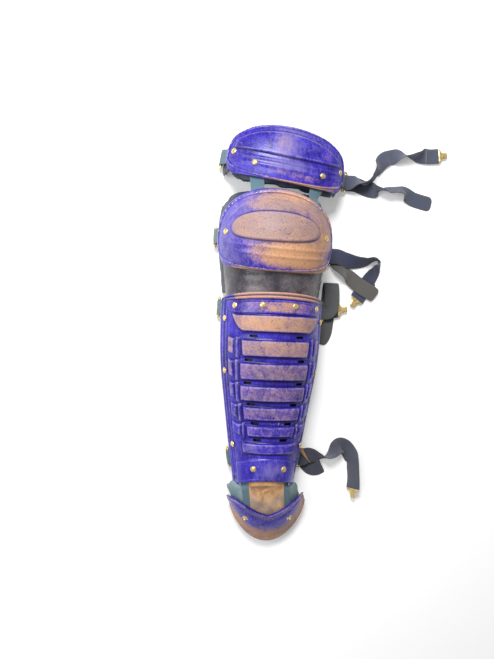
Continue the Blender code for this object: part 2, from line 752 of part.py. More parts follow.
def link_tab(name, knee_angle, thigh_angle):
    """The webbing that joins the thigh pad to the knee pad, under both plates."""
    low_edge = -0.5 * THIGH_LENGTH
    across = KNEE_HALF_WIDTH * math.sin(math.radians(knee_angle))
    knee_top = LEG_LENGTH - math.tan(KNEE_TURN) * across
    half = LINK_HALF_ANGLE
    rows = []
    for step in (0.020, 0.010, 0.0):
        rows.append((thigh_point, thigh_angle - half, thigh_angle + half, low_edge + step))
    for step in (-0.004, -0.012, -0.020):
        rows.append((leg_point, knee_angle - half, knee_angle + half, knee_top + step))
    laid_sheet(name, rows, 3, webbing(), WEBBING_THICKNESS)


# Toe


def toe_notch(angle):
    """Where the toe plate starts: low at the middle, higher at its two horns."""
    return TOE_NOTCH - (TOE_NOTCH - TOE_HORN) * np.minimum(np.abs(angle) / 52.0, 1.0) ** 1.2


def toe_relief(angle, share):
    """Edge beads of the toe plate."""
    start = toe_notch(angle)
    inner = box_curve(share, start - 0.1, start + 0.09, 0.04)
    outer = box_curve(share, 0.90, 1.1, 0.04)
    return BEAD_RISE * np.maximum(inner, outer)


def toe_surface(angle, share, lift=0.0):
    """The toe plate's outer face."""
    return toe_point(angle, share, PLATE_TOP + toe_relief(angle, share) + lift)


def toe_plate():
    """The shield-shaped plate over the foot."""
    skins = []
    for columns, steps, surface in ((21, (0.0, 0.07, 0.15, 0.25, 0.5, 0.75, 0.88, 1.0), toe_surface),
                                    (13, (0.0, 0.2, 0.4, 0.6, 0.8, 1.0), toe_point)):
        angles = np.linspace(-TOE_HALF_ANGLE, TOE_HALF_ANGLE, columns)[None, :]
        start = toe_notch(angles)
        shares = start + (1.0 - start) * np.array(steps)[:, None]
        skins.append(surface(angles, shares, 0.0 if surface is toe_surface else SEAM_ROOM))
    plate = closed_shell("toe_plate", *skins, plastic())
    fit_rivets(plate, toe_surface, [("rivet_toe_left", -35.0, 0.62), ("rivet_toe_right", 35.0, 0.62)])


def toe_pad():
    """The padded backing of the toe plate, with an ear at each side of the ankle."""
    skins = []
    for columns, lift in ((17, 0.0), (11, -PAD_THICKNESS)):
        angles = np.concatenate([[-FLOOR_TURN], np.linspace(-90.0, 90.0, columns), [FLOOR_TURN]])
        skin = toe_point(angles[None, :], np.array(TOE_SHARES)[:, None], lift)
        skin[..., 2] = np.maximum(skin[..., 2], 0.0)
        skins.append(skin)
    closed_shell("toe_pad", *skins, webbing())


def instep_sheet(name, sides, columns, leg_shares, toe_shares, material, thickness):
    """A strip of the instep, from under the shin plate over the gap to under the toe plate."""
    rows = []
    for share in leg_shares:
        along = share * SHIN_LENGTH
        half = leg_point(90.0, along, 0.0)[0]
        low, high = np.degrees(np.arcsin(np.array(sides) / half))
        rows.append((leg_point, low, high, along))
    low, high = np.degrees(np.arcsin(np.array(sides) / TOE_HALF_WIDTH))
    for share in toe_shares:
        rows.append((toe_point, low, high, share))
    laid_sheet(name, rows, columns, material, thickness)


def instep():
    """The suede tongue and the two webbing strips beside it."""
    suede = material_for("tan_suede", (0.45, 0.30, 0.15), 0.9)
    half = INSTEP_HALF_WIDTH
    near = half + FIT_GAP
    far = near + INSTEP_STRIP
    tongue_rows = ((0.11, 0.06, 0.02, -0.012), TOE_SHARES[:5])
    strap_rows = ((0.11, 0.06, 0.02, -0.022), TOE_SHARES[:5])
    instep_sheet("instep_panel", (-half, half), 7, *tongue_rows, suede, INSTEP_THICKNESS)
    for name, sides in (("left", (-far, -near)), ("right", (near, far))):
        instep_sheet("instep_strap_" + name, sides, 3, *strap_rows, webbing(), WEBBING_THICKNESS)


# Rings, tabs, straps and hooks


def sweep_wire(name, path, flat_normal, radius, sides=5):
    """A closed wire along a flat closed path."""
    path = np.asarray(path)
    ahead = np.roll(path, -1, axis=0) - np.roll(path, 1, axis=0)
    ahead /= np.linalg.norm(ahead, axis=1, keepdims=True)
    outward = np.cross(ahead, flat_normal)
    outward /= np.linalg.norm(outward, axis=1, keepdims=True)
    points = []
    for k, here in enumerate(path):
        for s in range(sides):
            turn = 2 * math.pi * (s + 0.5) / sides
            points.append(here + radius * (math.cos(turn) * outward[k] + math.sin(turn) * flat_normal))
    faces = []
    count = len(path)
    for k in range(count):
        for s in range(sides):
            nxt = (s + 1) % sides
            a = k * sides
            b = ((k + 1) % count) * sides
            faces.append((a + s, a + nxt, b + nxt, b + s))
    return make_object(name, points, faces, brass())


def closure_frame(surface, side, along):
    """Where a closure leaves the guard: the wall's foot, the way out and the way along."""
    foot = surface(side * 90.0, along, 0.0)
    near = surface(side * 90.0, along + 0.004, 0.0) - surface(side * 90.0, along - 0.004, 0.0)
    near[2] = 0.0
    forward = near / np.linalg.norm(near)
    out = np.array([side * forward[1], -side * forward[0], 0.0])
    return foot, out, forward


def at_frame(frame, out, along, height):
    """A point so far out of the wall and along it, at a height over the floor."""
    foot, way_out, forward = frame
    place = foot + out * way_out + along * forward
    return np.array([place[0], place[1], height])


def tab_loop(name, surface, side, along, edge_angle, bar):
    """Webbing that comes out under the plate's edge and goes round the ring's bar."""
    frame = closure_frame(surface, side, along)
    round_bar = RING_WIRE + FIT_GAP + WEBBING_THICKNESS / 2
    lift = 2 * FIT_GAP + WEBBING_THICKNESS / 2
    centres = [surface(side * angle, along, lift) for angle in (edge_angle - 13.0, edge_angle, 90.0)]
    rise = frame[0][2] - bar[1]
    inward = lift - bar[0]
    reach = math.hypot(rise, inward)
    start = math.degrees(math.atan2(rise, inward) - math.acos(round_bar / reach))
    for turn in np.linspace(start, -165.0, 6):
        bend = math.radians(turn)
        centres.append(at_frame(frame, bar[0] + round_bar * math.cos(bend), 0.0,
                                bar[1] + round_bar * math.sin(bend)))
    count = len(centres)
    width = np.tile(frame[2] * -side, (count, 1))
    ribbon(name, centres, width, np.full(count, TAB_WIDTH), WEBBING_THICKNESS, webbing())
    return frame


def wire_loop(name, frame, bar, pitch, low_height, outline):
    """A closed wire in a slanted plane: outline runs out of the bar and along it."""
    drop = bar[1] - low_height
    run = math.sqrt(pitch**2 - drop**2)
    path = [at_frame(frame, bar[0] + u * run / pitch, v, bar[1] - u * drop / pitch)
            for u, v in outline]
    slant = at_frame(frame, run, 0.0, -drop) - at_frame(frame, 0.0, 0.0, 0.0)
    flat_normal = np.cross(slant, frame[2])
    flat_normal /= np.linalg.norm(flat_normal)
    sweep_wire(name, path, flat_normal, RING_WIRE)


def loop_ring(name, frame, bar):
    """A rounded wire loop: the tab holds its inner bar and the strap runs round its outer bar."""
    half = RING_ROOM / 2 + RING_WIRE
    corner = RING_CORNER
    outline = []
    for far, side, start in ((1, 1, 0), (0, 1, 90), (0, 0, 180), (1, 0, 270)):
        for turn in (start, start + 45, start + 90):
            u = (RING_PITCH - corner if far else corner) + corner * math.cos(math.radians(turn))
            v = (half - corner if side else corner - half) + corner * math.sin(math.radians(turn))
            outline.append((u, v))
    wire_loop(name, frame, bar, RING_PITCH, RING_OUTER_HEIGHT, outline)


def d_ring(name, frame, bar):
    """A wire D-ring: the tab holds its straight bar and a strap's hook catches its bow."""
    half = RING_ROOM / 2 + RING_WIRE
    outline = [(0.0, v * half) for v in (-0.95, 0.0, 0.95)]
    for turn in (70, 45, 15, -15, -45, -70):
        bend = math.radians(turn)
        outline.append((DRING_DEPTH * math.cos(bend) ** 0.8, half * math.sin(bend) * 1.04))
    wire_loop(name, frame, bar, DRING_DEPTH, 1.3 * RING_WIRE, outline)


# Strap routes. Out and along are shares of the strap's reach, from the ring's outer bar, towards +X
# and +Y. Lift is in strap thicknesses over what the turned band needs to clear the floor. Heading is
# the way of the band's width in plan and tilt how far it stands on edge, in degrees.
ROUTE_COLUMNS = ("out", "along", "lift", "heading", "tilt")
THIGH_HOOK_ROWS = (
    (0.09, 0.010, 4.5, 90, -45),
    (0.165, 0.005, 3.5, 96, -80),
    (0.245, 0.045, 2.5, 130, -112),
    (0.30, 0.13, 2.0, 150, -122),
    (0.34, 0.21, 2.0, 150, -160),
    (0.405, 0.275, 3.2, 128, -180),
    (0.475, 0.30, 1.6, 112, -180),
    (0.53, 0.315, 0.6, 100, -215),
    (0.59, 0.316, 0.4, 92, -245),
    (0.655, 0.315, 0.4, 90, -270),
    (0.715, 0.316, 0.6, 92, -295),
    (0.775, 0.327, 1.4, 96, -330),
    (0.865, 0.336, 2.6, 96, -358),
    (0.955, 0.348, 3.2, 96, -360),
)
THIGH_TAIL_ROWS = (
    (0.10, 0.0, 0.5, 84, 0),
    (0.185, -0.025, 0.1, 82, 0),
    (0.26, -0.045, 0.1, 84, 12),
    (0.325, -0.055, 0.1, 90, 75),
    (0.41, -0.045, 0.1, 92, 120),
    (0.51, -0.032, 0.1, 92, 125),
    (0.585, -0.034, 0.1, 80, 135),
    (0.65, -0.07, 0.1, 50, 170),
    (0.715, -0.10, 0.1, 66, 180),
    (0.79, -0.118, 0.1, 76, 180),
    (0.91, -0.14, 0.1, 78, 180),
)
KNEE_HOOK_ROWS = (
    (0.13, 0.0, 4.8, 88, -5),
    (0.29, -0.055, 3.0, 82, 10),
    (0.49, -0.095, 1.0, 86, 40),
    (0.68, -0.085, 0.6, 92, 58),
    (0.86, -0.035, 0.5, 85, 80),
    (0.935, -0.05, 0.5, 30, 105),
    (0.91, -0.22, 0.4, 5, 150),
    (0.81, -0.41, 0.3, -10, 175),
    (0.735, -0.58, 0.3, -18, 180),
    (0.64, -0.71, 1.2, -28, 180),
    (0.575, -0.80, 2.4, -30, 180),
)
KNEE_TAIL_ROWS = (
    (0.08, -0.03, 0.7, 80, 0),
    (0.16, -0.16, 0.1, 60, -20),
    (0.26, -0.28, 0.1, 70, -40),
    (0.38, -0.355, 0.3, 70, -15),
    (0.54, -0.485, 2.4, 52, 0),
    (0.71, -0.595, 3.4, 56, 0),
    (0.88, -0.68, 3.0, 56, 0),
    (0.95, -0.73, 2.4, 56, 0),
)
CALF_HOOK_ROWS = (
    (0.25, 0.04, 2.2, 90, 0),
    (0.50, 0.09, 2.3, 89, 0),
    (0.78, 0.13, 3.0, 88, 0),
)
CALF_TAIL_ROWS = (
    (0.26, 0.05, 6.6, 96, 0),
    (0.38, 0.34, 7.8, 134, 0),
    (0.39, 0.80, 8.6, 168, 0),
    (0.37, 1.20, 8.0, 180, 0),
    (0.36, 1.42, 4.2, 180, 0),
    (0.36, 1.25, 0.8, 180, 0),
    (0.33, 0.75, 0.2, 180, 0),
    (0.29, 0.10, 0.1, 180, 0),
    (0.24, -0.50, 0.1, 182, 0),
    (0.17, -1.10, 0.1, 184, 0),
    (0.06, -1.60, 0.1, 190, 0),
)
ANKLE_HOOK_ROWS = (
    (0.09, 0.045, 4.6, 84, 5),
    (0.19, 0.045, 3.2, 86, 20),
    (0.30, 0.03, 2.0, 88, 50),
    (0.42, 0.018, 1.2, 95, 82),
    (0.52, 0.067, 0.5, 120, 105),
    (0.60, 0.148, 0.3, 130, 130),
    (0.69, 0.215, 0.3, 95, 165),
    (0.785, 0.19, 0.3, 50, 180),
    (0.865, 0.10, 0.2, 28, 190),
    (0.905, -0.02, 0.1, 8, 230),
    (0.925, -0.20, 0.1, 4, 236),
    (0.94, -0.38, 0.1, 0, 236),
    (0.937, -0.52, 0.8, 0, 230),
)
ANKLE_TAIL_ROWS = (
    (0.05, -0.02, 0.8, 70, 0),
    (0.11, -0.10, 0.2, 52, 0),
    (0.20, -0.175, 0.1, 60, 0),
    (0.30, -0.185, 0.1, 95, 10),
    (0.385, -0.14, 0.1, 115, 10),
)


def strap_knots(frame, reach, hook_rows, tail_rows, hook_on_top):
    """Places, heading and tilt of a band from its hook, round the ring's outer bar, to its tail."""
    drop = TAB_HEIGHT - RING_OUTER_HEIGHT
    bar_out = TAB_REACH + math.sqrt(RING_PITCH**2 - drop**2)
    bar = at_frame(frame, bar_out, 0.0, 0.0)
    round_bar = RING_WIRE + FIT_GAP + STRAP_THICKNESS / 2
    across = 90.0 + math.degrees(math.atan2(frame[1][1], frame[1][0]))

    def knot(out, along, lift, heading, tilt):
        edge = math.radians(tilt)
        rest = abs(math.sin(edge)) * STRAP_WIDTH / 2 + abs(math.cos(edge)) * STRAP_THICKNESS / 2
        height = rest + lift * STRAP_THICKNESS
        return bar[0] + out * reach, bar[1] + along * reach, height, heading, tilt

    bends = [math.radians(turn) for turn in (90, 135, 180, 225, 270)]
    wrap = [(round_bar * math.cos(bend), math.sin(bend)) for bend in bends]
    wrap = [(RING_WIRE, 1.0), *wrap, (RING_WIRE, -1.0)]
    if not hook_on_top:
        wrap.reverse()
    knots = [knot(**row) for row in named_rows(ROUTE_COLUMNS, hook_rows[::-1])]
    for out, up in wrap:
        place = at_frame(frame, bar_out + out, 0.0, RING_OUTER_HEIGHT + round_bar * up)
        knots.append((*place, across, 0.0))
    knots.extend(knot(**row) for row in named_rows(ROUTE_COLUMNS, tail_rows))
    return np.array(knots)


def strap(name, surface, along, reach, hook_rows, tail_rows, hook_on_top=True):
    """An elastic strap from its hook, round the ring's outer bar, to its free tail."""
    frame = closure_frame(surface, 1, along)
    knots = strap_knots(frame, reach, hook_rows, tail_rows, hook_on_top)
    chord = np.concatenate([[0.0], np.cumsum(np.linalg.norm(np.diff(knots[:, :3], axis=0), axis=1))])
    between = []
    for k in range(len(chord) - 1):
        steps = max(1, int(round((chord[k + 1] - chord[k]) / STRAP_STEP)))
        between.extend(chord[k] + (chord[k + 1] - chord[k]) * np.arange(steps) / steps)
    between.append(chord[-1])
    between = np.array(between)
    path = np.stack([smooth_read(between, chord, knots[:, c]) for c in range(5)], 1)
    heading = np.radians(path[:, 3])
    tilt = np.radians(path[:, 4])
    widths = np.stack([np.cos(heading) * np.cos(tilt), np.sin(heading) * np.cos(tilt), np.sin(tilt)], 1)
    wides = np.full(len(between), STRAP_WIDTH)
    wides[-1] = STRAP_WIDTH * 0.6
    centres = path[:, :3]
    for _ in range(3):
        lowest = band_corners(centres, widths, wides, STRAP_THICKNESS)[..., 2].min(1)
        centres[:, 2] += np.maximum(FLOOR_CLEARANCE - lowest, 0.0)
    ribbon(name, centres, widths, wides, STRAP_THICKNESS, elastic())
    tip_way = centres[0] - centres[1]
    tip_way /= np.linalg.norm(tip_way)
    hook(name.replace("strap", "hook"), centres[0], tip_way, widths[0])


def hook(name, tip, way, width):
    """A stamped hook at a strap's end: a wide base, a narrow tongue and a curl under it."""
    width = width - width.dot(way) * way
    width /= np.linalg.norm(width)
    down = np.cross(way, width)
    if down[2] > 0:
        down = -down
    curl = HOOK_CURL
    base = 0.94 * STRAP_WIDTH
    centres = [tip + way * (FIT_GAP + share * HOOK_LENGTH) for share in (0.0, 0.14, 0.42, 0.60, 0.92)]
    wides = [base, base, 1.15 * HOOK_TONGUE, HOOK_TONGUE, HOOK_TONGUE]
    end = centres[-1]
    for turn in (40, 90, 140):
        bend = math.radians(turn)
        centres.append(end + way * curl * math.sin(bend) + down * curl * (1 - math.cos(bend)))
        wides.append(HOOK_TONGUE)
    centres.append(centres[-1] - way * 2 * curl + down * 0.2 * curl)
    wides.append(HOOK_TONGUE)
    width_rows = np.tile(width, (len(centres), 1))
    ribbon(name, centres, width_rows, np.array(wides), HOOK_THICKNESS, brass())


def closures():
    """Tabs, rings and straps of the four fastenings."""
    right_bar = (TAB_REACH, TAB_HEIGHT)
    left_bar = (LEFT_TAB_REACH, LEFT_TAB_HEIGHT)
    thigh = (-0.07 * THIGH_LENGTH, -0.10 * THIGH_LENGTH, THIGH_HALF_ANGLE)
    knee = (KNEE_START + 0.35 * KNEE_LENGTH, KNEE_START + 0.48 * KNEE_LENGTH, KNEE_HALF_ANGLE)
    calf = (0.92 * SHIN_LENGTH, 0.92 * SHIN_LENGTH, SHIN_HALF_ANGLE)
    ankle = (0.10 * SHIN_LENGTH, 0.10 * SHIN_LENGTH, SHIN_HALF_ANGLE)
    places = (
        ("thigh", thigh_point, thigh, THIGH_REACH, THIGH_HOOK_ROWS, THIGH_TAIL_ROWS),
        ("knee", leg_point, knee, KNEE_REACH, KNEE_HOOK_ROWS, KNEE_TAIL_ROWS),
        ("calf", leg_point, calf, CALF_REACH, CALF_HOOK_ROWS, CALF_TAIL_ROWS),
        ("ankle", leg_point, ankle, ANKLE_REACH, ANKLE_HOOK_ROWS, ANKLE_TAIL_ROWS),
    )
    for name, surface, (right, left, edge), reach, hook_rows, tail_rows in places:
        frame = tab_loop(name + "_tab_right", surface, 1, right, edge, right_bar)
        loop_ring(name + "_ring_right", frame, right_bar)
        frame = tab_loop(name + "_tab_left", surface, -1, left, edge, left_bar)
        d_ring(name + "_ring_left", frame, left_bar)
        strap(name + "_strap", surface, right, reach, hook_rows, tail_rows, name != "calf")


shin_plate()
shin_pad()
knee_bridge()
knee_plate()
knee_pad()
thigh_plate()
thigh_pad()
link_tab("link_tab_left", -29.0, -31.0)
link_tab("link_tab_right", 42.0, 33.0)
toe_plate()
toe_pad()
instep()
closures()


def settle_origin():
    """Moves all pieces so that the origin is under the middle of their common box."""
    bpy.context.view_layer.update()
    made = [item for item in bpy.data.objects if item.type == "MESH" and not item.hide_render]
    corners = np.concatenate([np.array([v.co for v in item.data.vertices]) for item in made])
    middle = (corners.min(0) + corners.max(0)) / 2
    shift = (-middle[0], -middle[1], -corners[:, 2].min())
    for item in bpy.data.objects:
        item.location = shift


settle_origin()
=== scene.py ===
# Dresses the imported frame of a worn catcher's leg guard that lies on its back.
import json
import math

import bmesh
import bpy
import numpy as np
from mathutils import Matrix, Vector

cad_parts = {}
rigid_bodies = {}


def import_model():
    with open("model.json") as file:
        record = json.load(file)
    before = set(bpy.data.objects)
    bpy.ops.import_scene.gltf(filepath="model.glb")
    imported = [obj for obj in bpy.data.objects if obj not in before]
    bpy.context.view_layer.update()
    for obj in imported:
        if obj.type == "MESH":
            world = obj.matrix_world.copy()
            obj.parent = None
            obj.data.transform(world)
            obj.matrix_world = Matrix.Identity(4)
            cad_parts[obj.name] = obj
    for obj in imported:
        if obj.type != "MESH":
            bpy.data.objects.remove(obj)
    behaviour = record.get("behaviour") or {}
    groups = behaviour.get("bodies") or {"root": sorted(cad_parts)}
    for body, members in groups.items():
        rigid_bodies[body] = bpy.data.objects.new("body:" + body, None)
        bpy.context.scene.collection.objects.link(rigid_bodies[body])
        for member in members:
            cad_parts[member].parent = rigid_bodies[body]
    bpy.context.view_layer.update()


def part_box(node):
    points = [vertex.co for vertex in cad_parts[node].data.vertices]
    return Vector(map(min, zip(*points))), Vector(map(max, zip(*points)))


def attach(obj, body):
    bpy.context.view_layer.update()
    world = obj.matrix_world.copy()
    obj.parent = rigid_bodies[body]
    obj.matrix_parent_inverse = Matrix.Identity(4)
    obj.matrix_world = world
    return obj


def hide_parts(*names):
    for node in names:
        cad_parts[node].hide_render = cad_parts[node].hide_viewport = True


for oldObject in list(bpy.data.objects):
    bpy.data.objects.remove(oldObject, do_unlink=True)

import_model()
print("frame loaded")

# sizes of the guard, in metres and degrees, as in the frame
guard = {
    "shinLength": 0.290, "bridgeShowing": 0.0284, "kneeLength": 0.126, "thighLength": 0.0925,
    "toeLength": 0.095, "thighGap": 0.012, "kneeHalfWidth": 0.083, "kneeCrest": 0.108,
    "thighHalfWidth": 0.091, "thighCrest": 0.076, "toeHalfWidth": 0.057, "toeCrest": 0.062,
    "toeRimHeight": 0.012, "kneeTurn": 1.5, "thighTurn": 6.6, "thighOffset": 0.0135,
    "toeOffset": 0.012, "padThickness": 0.008, "plateWall": 0.003, "seamRoom": 0.0033,
    "padFlare": 0.005, "floorTurn": 120.0, "fitGap": 0.0005,
}
shinLength = guard["shinLength"]
kneeStart = shinLength + guard["bridgeShowing"]
legLength = kneeStart + guard["kneeLength"]
thighMiddle = legLength + guard["thighGap"] + guard["thighLength"] / 2
plateTop = guard["seamRoom"] + guard["plateWall"]
fitGap = guard["fitGap"]

# the shin's axis in the frame: the pad is even about it, and its top edge is 4 mm short of the shin's
padLow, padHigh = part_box("shin_pad")
axisPlace = np.array([(padLow.x + padHigh.x) / 2, padHigh.y - (shinLength - 0.004), 0.0])

# the trough under the plates: along, half width, crest and spring as shares
legRows = np.array([
    (-0.04, 0.47, 0.63, 0.20), (0.10, 0.60, 0.64, 0.215), (0.27, 0.74, 0.72, 0.24),
    (0.40, 0.84, 0.80, 0.27), (0.58, 0.88, 0.86, 0.29), (0.66, 0.875, 0.885, 0.305),
    (0.74, 0.935, 0.945, 0.33), (0.83, 1.0, 1.0, 0.35), (0.92, 0.985, 0.945, 0.33),
    (1.03, 0.86, 0.70, 0.26)]).T
thighRows = np.array([
    (-0.60, 0.94, 0.97, 0.36), (-0.30, 1.0, 1.0, 0.38), (0.00, 1.0, 0.98, 0.38),
    (0.25, 0.98, 0.90, 0.36), (0.55, 0.90, 0.68, 0.30)]).T


# Camera and light

# the camera of the photo, from its place, target, roll and focal length in pixels
def placeCamera():
    view = {"from": (-0.167, 0.233, 0.907), "to": (-0.032, 0.233, 0.0), "roll": 2.5, "frameHeight": 659,
            "focalPixels": 560}
    start = Vector(view["from"]) + Vector(axisPlace)
    target = Vector(view["to"]) + Vector(axisPlace)
    ahead = (target - start).normalized()
    right = ahead.cross(Vector((0.0, 1.0, 0.0))).normalized()
    up = right.cross(ahead)
    roll = math.radians(view["roll"])
    turnedRight = right * math.cos(roll) + up * math.sin(roll)
    turnedUp = up * math.cos(roll) - right * math.sin(roll)
    camera = bpy.data.objects.new("camera", bpy.data.cameras.new("camera"))
    camera.data.sensor_fit = "VERTICAL"
    camera.data.sensor_height = 36.0
    camera.data.lens = view["focalPixels"] / view["frameHeight"] * camera.data.sensor_height
    camera.matrix_world = Matrix((
        (turnedRight.x, turnedUp.x, -ahead.x, start.x), (turnedRight.y, turnedUp.y, -ahead.y, start.y),
        (turnedRight.z, turnedUp.z, -ahead.z, start.z), (0.0, 0.0, 0.0, 1.0)))
    bpy.context.scene.collection.objects.link(camera)
    bpy.context.scene.camera = camera


# a white disk lamp that looks at the target
def addLamp(name, place, target, size, power):
    lamp = bpy.data.objects.new(name, bpy.data.lights.new(name, "AREA"))
    lamp.data.shape = "DISK"
    lamp.data.size = size
    lamp.data.energy = power
    lamp.location = place
    lamp.rotation_mode = "QUATERNION"
    lamp.rotation_quaternion = (Vector(target) - Vector(place)).to_track_quat("-Z", "Y")
    bpy.context.scene.collection.objects.link(lamp)


def lightScene():
    light = {"skyStrength": 0.28, "topPower": 20.0, "sidePower": 9.0}
    world = bpy.data.worlds.new("soft_sky")
    world.use_nodes = True
    world.node_tree.nodes["Background"].inputs["Color"].default_value = (1.0, 1.0, 1.0, 1.0)
    world.node_tree.nodes["Background"].inputs["Strength"].default_value = light["skyStrength"]
    bpy.context.scene.world = world
    addLamp("topLamp", (-0.40, 0.80, 1.15), (0.0, 0.0, 0.0), 0.55, light["topPower"])
    addLamp("sideLamp", (-1.1, 0.1, 1.0), (-0.1, 0.0, 0.05), 0.8, light["sidePower"])
    bpy.context.scene.view_settings.view_transform = "Standard"


placeCamera()
lightScene()
print("camera and light placed")


# Shapes of the guard

# a cubic curve through the given places, with straight ends
def smoothRead(at, places, values):
    at = np.asarray(at, float)
    slopes = np.gradient(values, places)
    k = np.clip(np.searchsorted(places, at) - 1, 0, len(places) - 2)
    step = places[k + 1] - places[k]
    t = np.clip((at - places[k]) / step, 0.0, 1.0)
    first = (1 + 2 * t) * (1 - t) ** 2 * values[k] + t * (1 - t) ** 2 * step * slopes[k]
    second = t * t * (3 - 2 * t) * values[k + 1] + t * t * (t - 1) * step * slopes[k + 1]
    return first + second


# rises smoothly from 0 at low to 1 at high
def ease(at, low, high):
    t = np.clip((at - low) / (high - low), 0.0, 1.0)
    return t * t * (3.0 - 2.0 * t)


# 1 between low and high, falling smoothly to 0 over ramp inside both ends
def plateau(at, low, high, ramp):
    return ease(at, low, low + ramp) * ease(at, high, high - ramp)


# a bell of height 1 round the middle
def bell(at, middle, spread):
    return np.exp(-((at - middle) / spread) ** 2)


# the sum of soft oval patches: angle and along of the middle, their spreads, and the amount
def patches(angle, along, rows):
    total = np.zeros(np.broadcast(angle, along).shape)
    for middleAngle, middleAlong, spreadAngle, spreadAlong, amount in rows:
        total = total + amount * bell(angle, middleAngle, spreadAngle) * bell(along, middleAlong, spreadAlong)
    return total


# an arch: an ellipse to 90 degrees each way, then straight down to the floor
def bendRound(angle, half, crest, spring, lift):
    turn = np.radians(np.clip(angle, -90.0, 90.0))
    past = np.clip((np.abs(angle) - 90.0) / (guard["floorTurn"] - 90.0), 0.0, 1.0)
    across = (half + lift + guard["padFlare"] * past) * np.sin(turn)
    up = (spring + (crest - spring + lift) * np.cos(turn)) * (1.0 - past)
    return across, up


# a point of the trough: degrees round it, metres along it and lift over it
def legPoint(angle, along, lift):
    angle, along, lift = np.broadcast_arrays(angle, along, lift)
    half, crest, spring = [smoothRead(along / legLength, legRows[0], row) for row in legRows[1:]]
    across, up = bendRound(angle, half * guard["kneeHalfWidth"], crest * guard["kneeCrest"],
                           spring * guard["kneeCrest"], lift)
    return np.stack([across, along, up], -1) + axisPlace


# the same over the thigh board, whose axis is turned and set off
def thighPoint(angle, along, lift):
    angle, along, lift = np.broadcast_arrays(angle, along, lift)
    half, crest, spring = [smoothRead(along / guard["thighLength"], thighRows[0], row)
                           for row in thighRows[1:]]
    across, up = bendRound(angle, half * guard["thighHalfWidth"], crest * guard["thighCrest"],
                           spring * guard["thighCrest"], lift)
    turn = math.radians(guard["thighTurn"])
    x = guard["thighOffset"] + across * math.cos(turn) + along * math.sin(turn)
    y = thighMiddle - across * math.sin(turn) + along * math.cos(turn)
    return np.stack([x, y, up], -1) + axisPlace


# the foot's hood without thickness: the sweep goes round its rim, the run from ankle to rim
def footHood(sweep, run):
    sine = np.sin(np.radians(np.clip(sweep, -90.0, 90.0)))
    cosine = np.maximum(np.cos(np.radians(np.clip(sweep, -90.0, 90.0))), 0.0)
    past = np.clip((np.abs(sweep) - 90.0) / (guard["floorTurn"] - 90.0), 0.0, 1.0)
    runIn = np.clip(run, 0.0, 1.0)
    drop = np.clip((run - 1.0) / 0.2, 0.0, 1.0)
    topY = -0.080 - 0.10 * sine**2
    rimY = -0.36 - 0.64 * cosine**1.3
    y = (topY + (rimY - topY) * runIn) * (guard["toeLength"] + 0.008)
    x = guard["toeOffset"] * runIn + guard["toeHalfWidth"] * sine * (1.0 - 0.02 * runIn)
    topZ = (0.27 + 0.73 * cosine**0.9) * guard["toeCrest"]
    z = guard["toeRimHeight"] + (topZ - guard["toeRimHeight"]) * np.cos(runIn * math.pi / 2)
    return np.stack([x, y, z * (1.0 - past) * (1.0 - drop)], -1)


# a point of the hood moved out along its normal by lift
def toePoint(angle, share, lift):
    angle, share, lift = np.broadcast_arrays(angle, share, lift)
    across = footHood(angle + 0.5, share) - footHood(angle - 0.5, share)
    down = footHood(angle, share + 0.01) - footHood(angle, share - 0.01)
    normal = np.cross(down, across)
    normal /= np.maximum(np.linalg.norm(normal, axis=-1, keepdims=True), 1e-12)
    beyond = (np.abs(angle) >= 90.0) | (share >= 1.0)
    normal[..., 2] = np.where(beyond, 0.0, np.abs(normal[..., 2]))
    normal /= np.maximum(np.linalg.norm(normal, axis=-1, keepdims=True), 1e-12)
    return footHood(angle, share) + normal * lift[..., None] + axisPlace


# Meshes

# square faces between the points of a grid
def gridFaces(rows, columns, wrapColumns=False):
    index = np.arange(rows * columns).reshape(rows, columns)
    if wrapColumns:
        index = np.concatenate([index, index[:, :1]], 1)
    return np.stack([index[:-1, :-1], index[:-1, 1:], index[1:, 1:], index[1:, :-1]], -1).reshape(-1, 4)


# the edge points of a grid, once round
def gridRim(rows, columns):
    index = np.arange(rows * columns).reshape(rows, columns)
    return np.concatenate([index[0, :-1], index[:-1, -1], index[-1, :0:-1], index[:0:-1, 0]])


# a mesh object with its marks, cavity and map on the face corners
def makePiece(name, points, faces, material, marks=None, uv=None, sharp=40.0):
    mesh = bpy.data.meshes.new(name)
    mesh.from_pydata(np.asarray(points, float).reshape(-1, 3), [], faces)
    corners = np.empty(len(mesh.loops), np.int32)
    mesh.loops.foreach_get("vertex_index", corners)
    if marks is not None:
        layer = mesh.attributes.new("marks", "FLOAT_COLOR", "CORNER")
        layer.data.foreach_set("color", marks[corners][:, :4].astype(np.float32).ravel())
        if marks.shape[1] > 4:
            layer = mesh.attributes.new("cavity", "FLOAT", "CORNER")
            layer.data.foreach_set("value", marks[corners][:, 4].astype(np.float32))
    if uv is not None:
        layer = mesh.uv_layers.new(name="weave")
        layer.data.foreach_set("uv", uv[corners].astype(np.float32).ravel())
    work = bmesh.new()
    work.from_mesh(mesh)
    bmesh.ops.recalc_face_normals(work, faces=work.faces)
    work.to_mesh(mesh)
    work.free()
    mesh.shade_smooth()
    mesh.set_sharp_from_angle(angle=math.radians(sharp))
    piece = bpy.data.objects.new(name, mesh)
    bpy.context.scene.collection.objects.link(piece)
    if material:
        mesh.materials.append(material)
    return piece


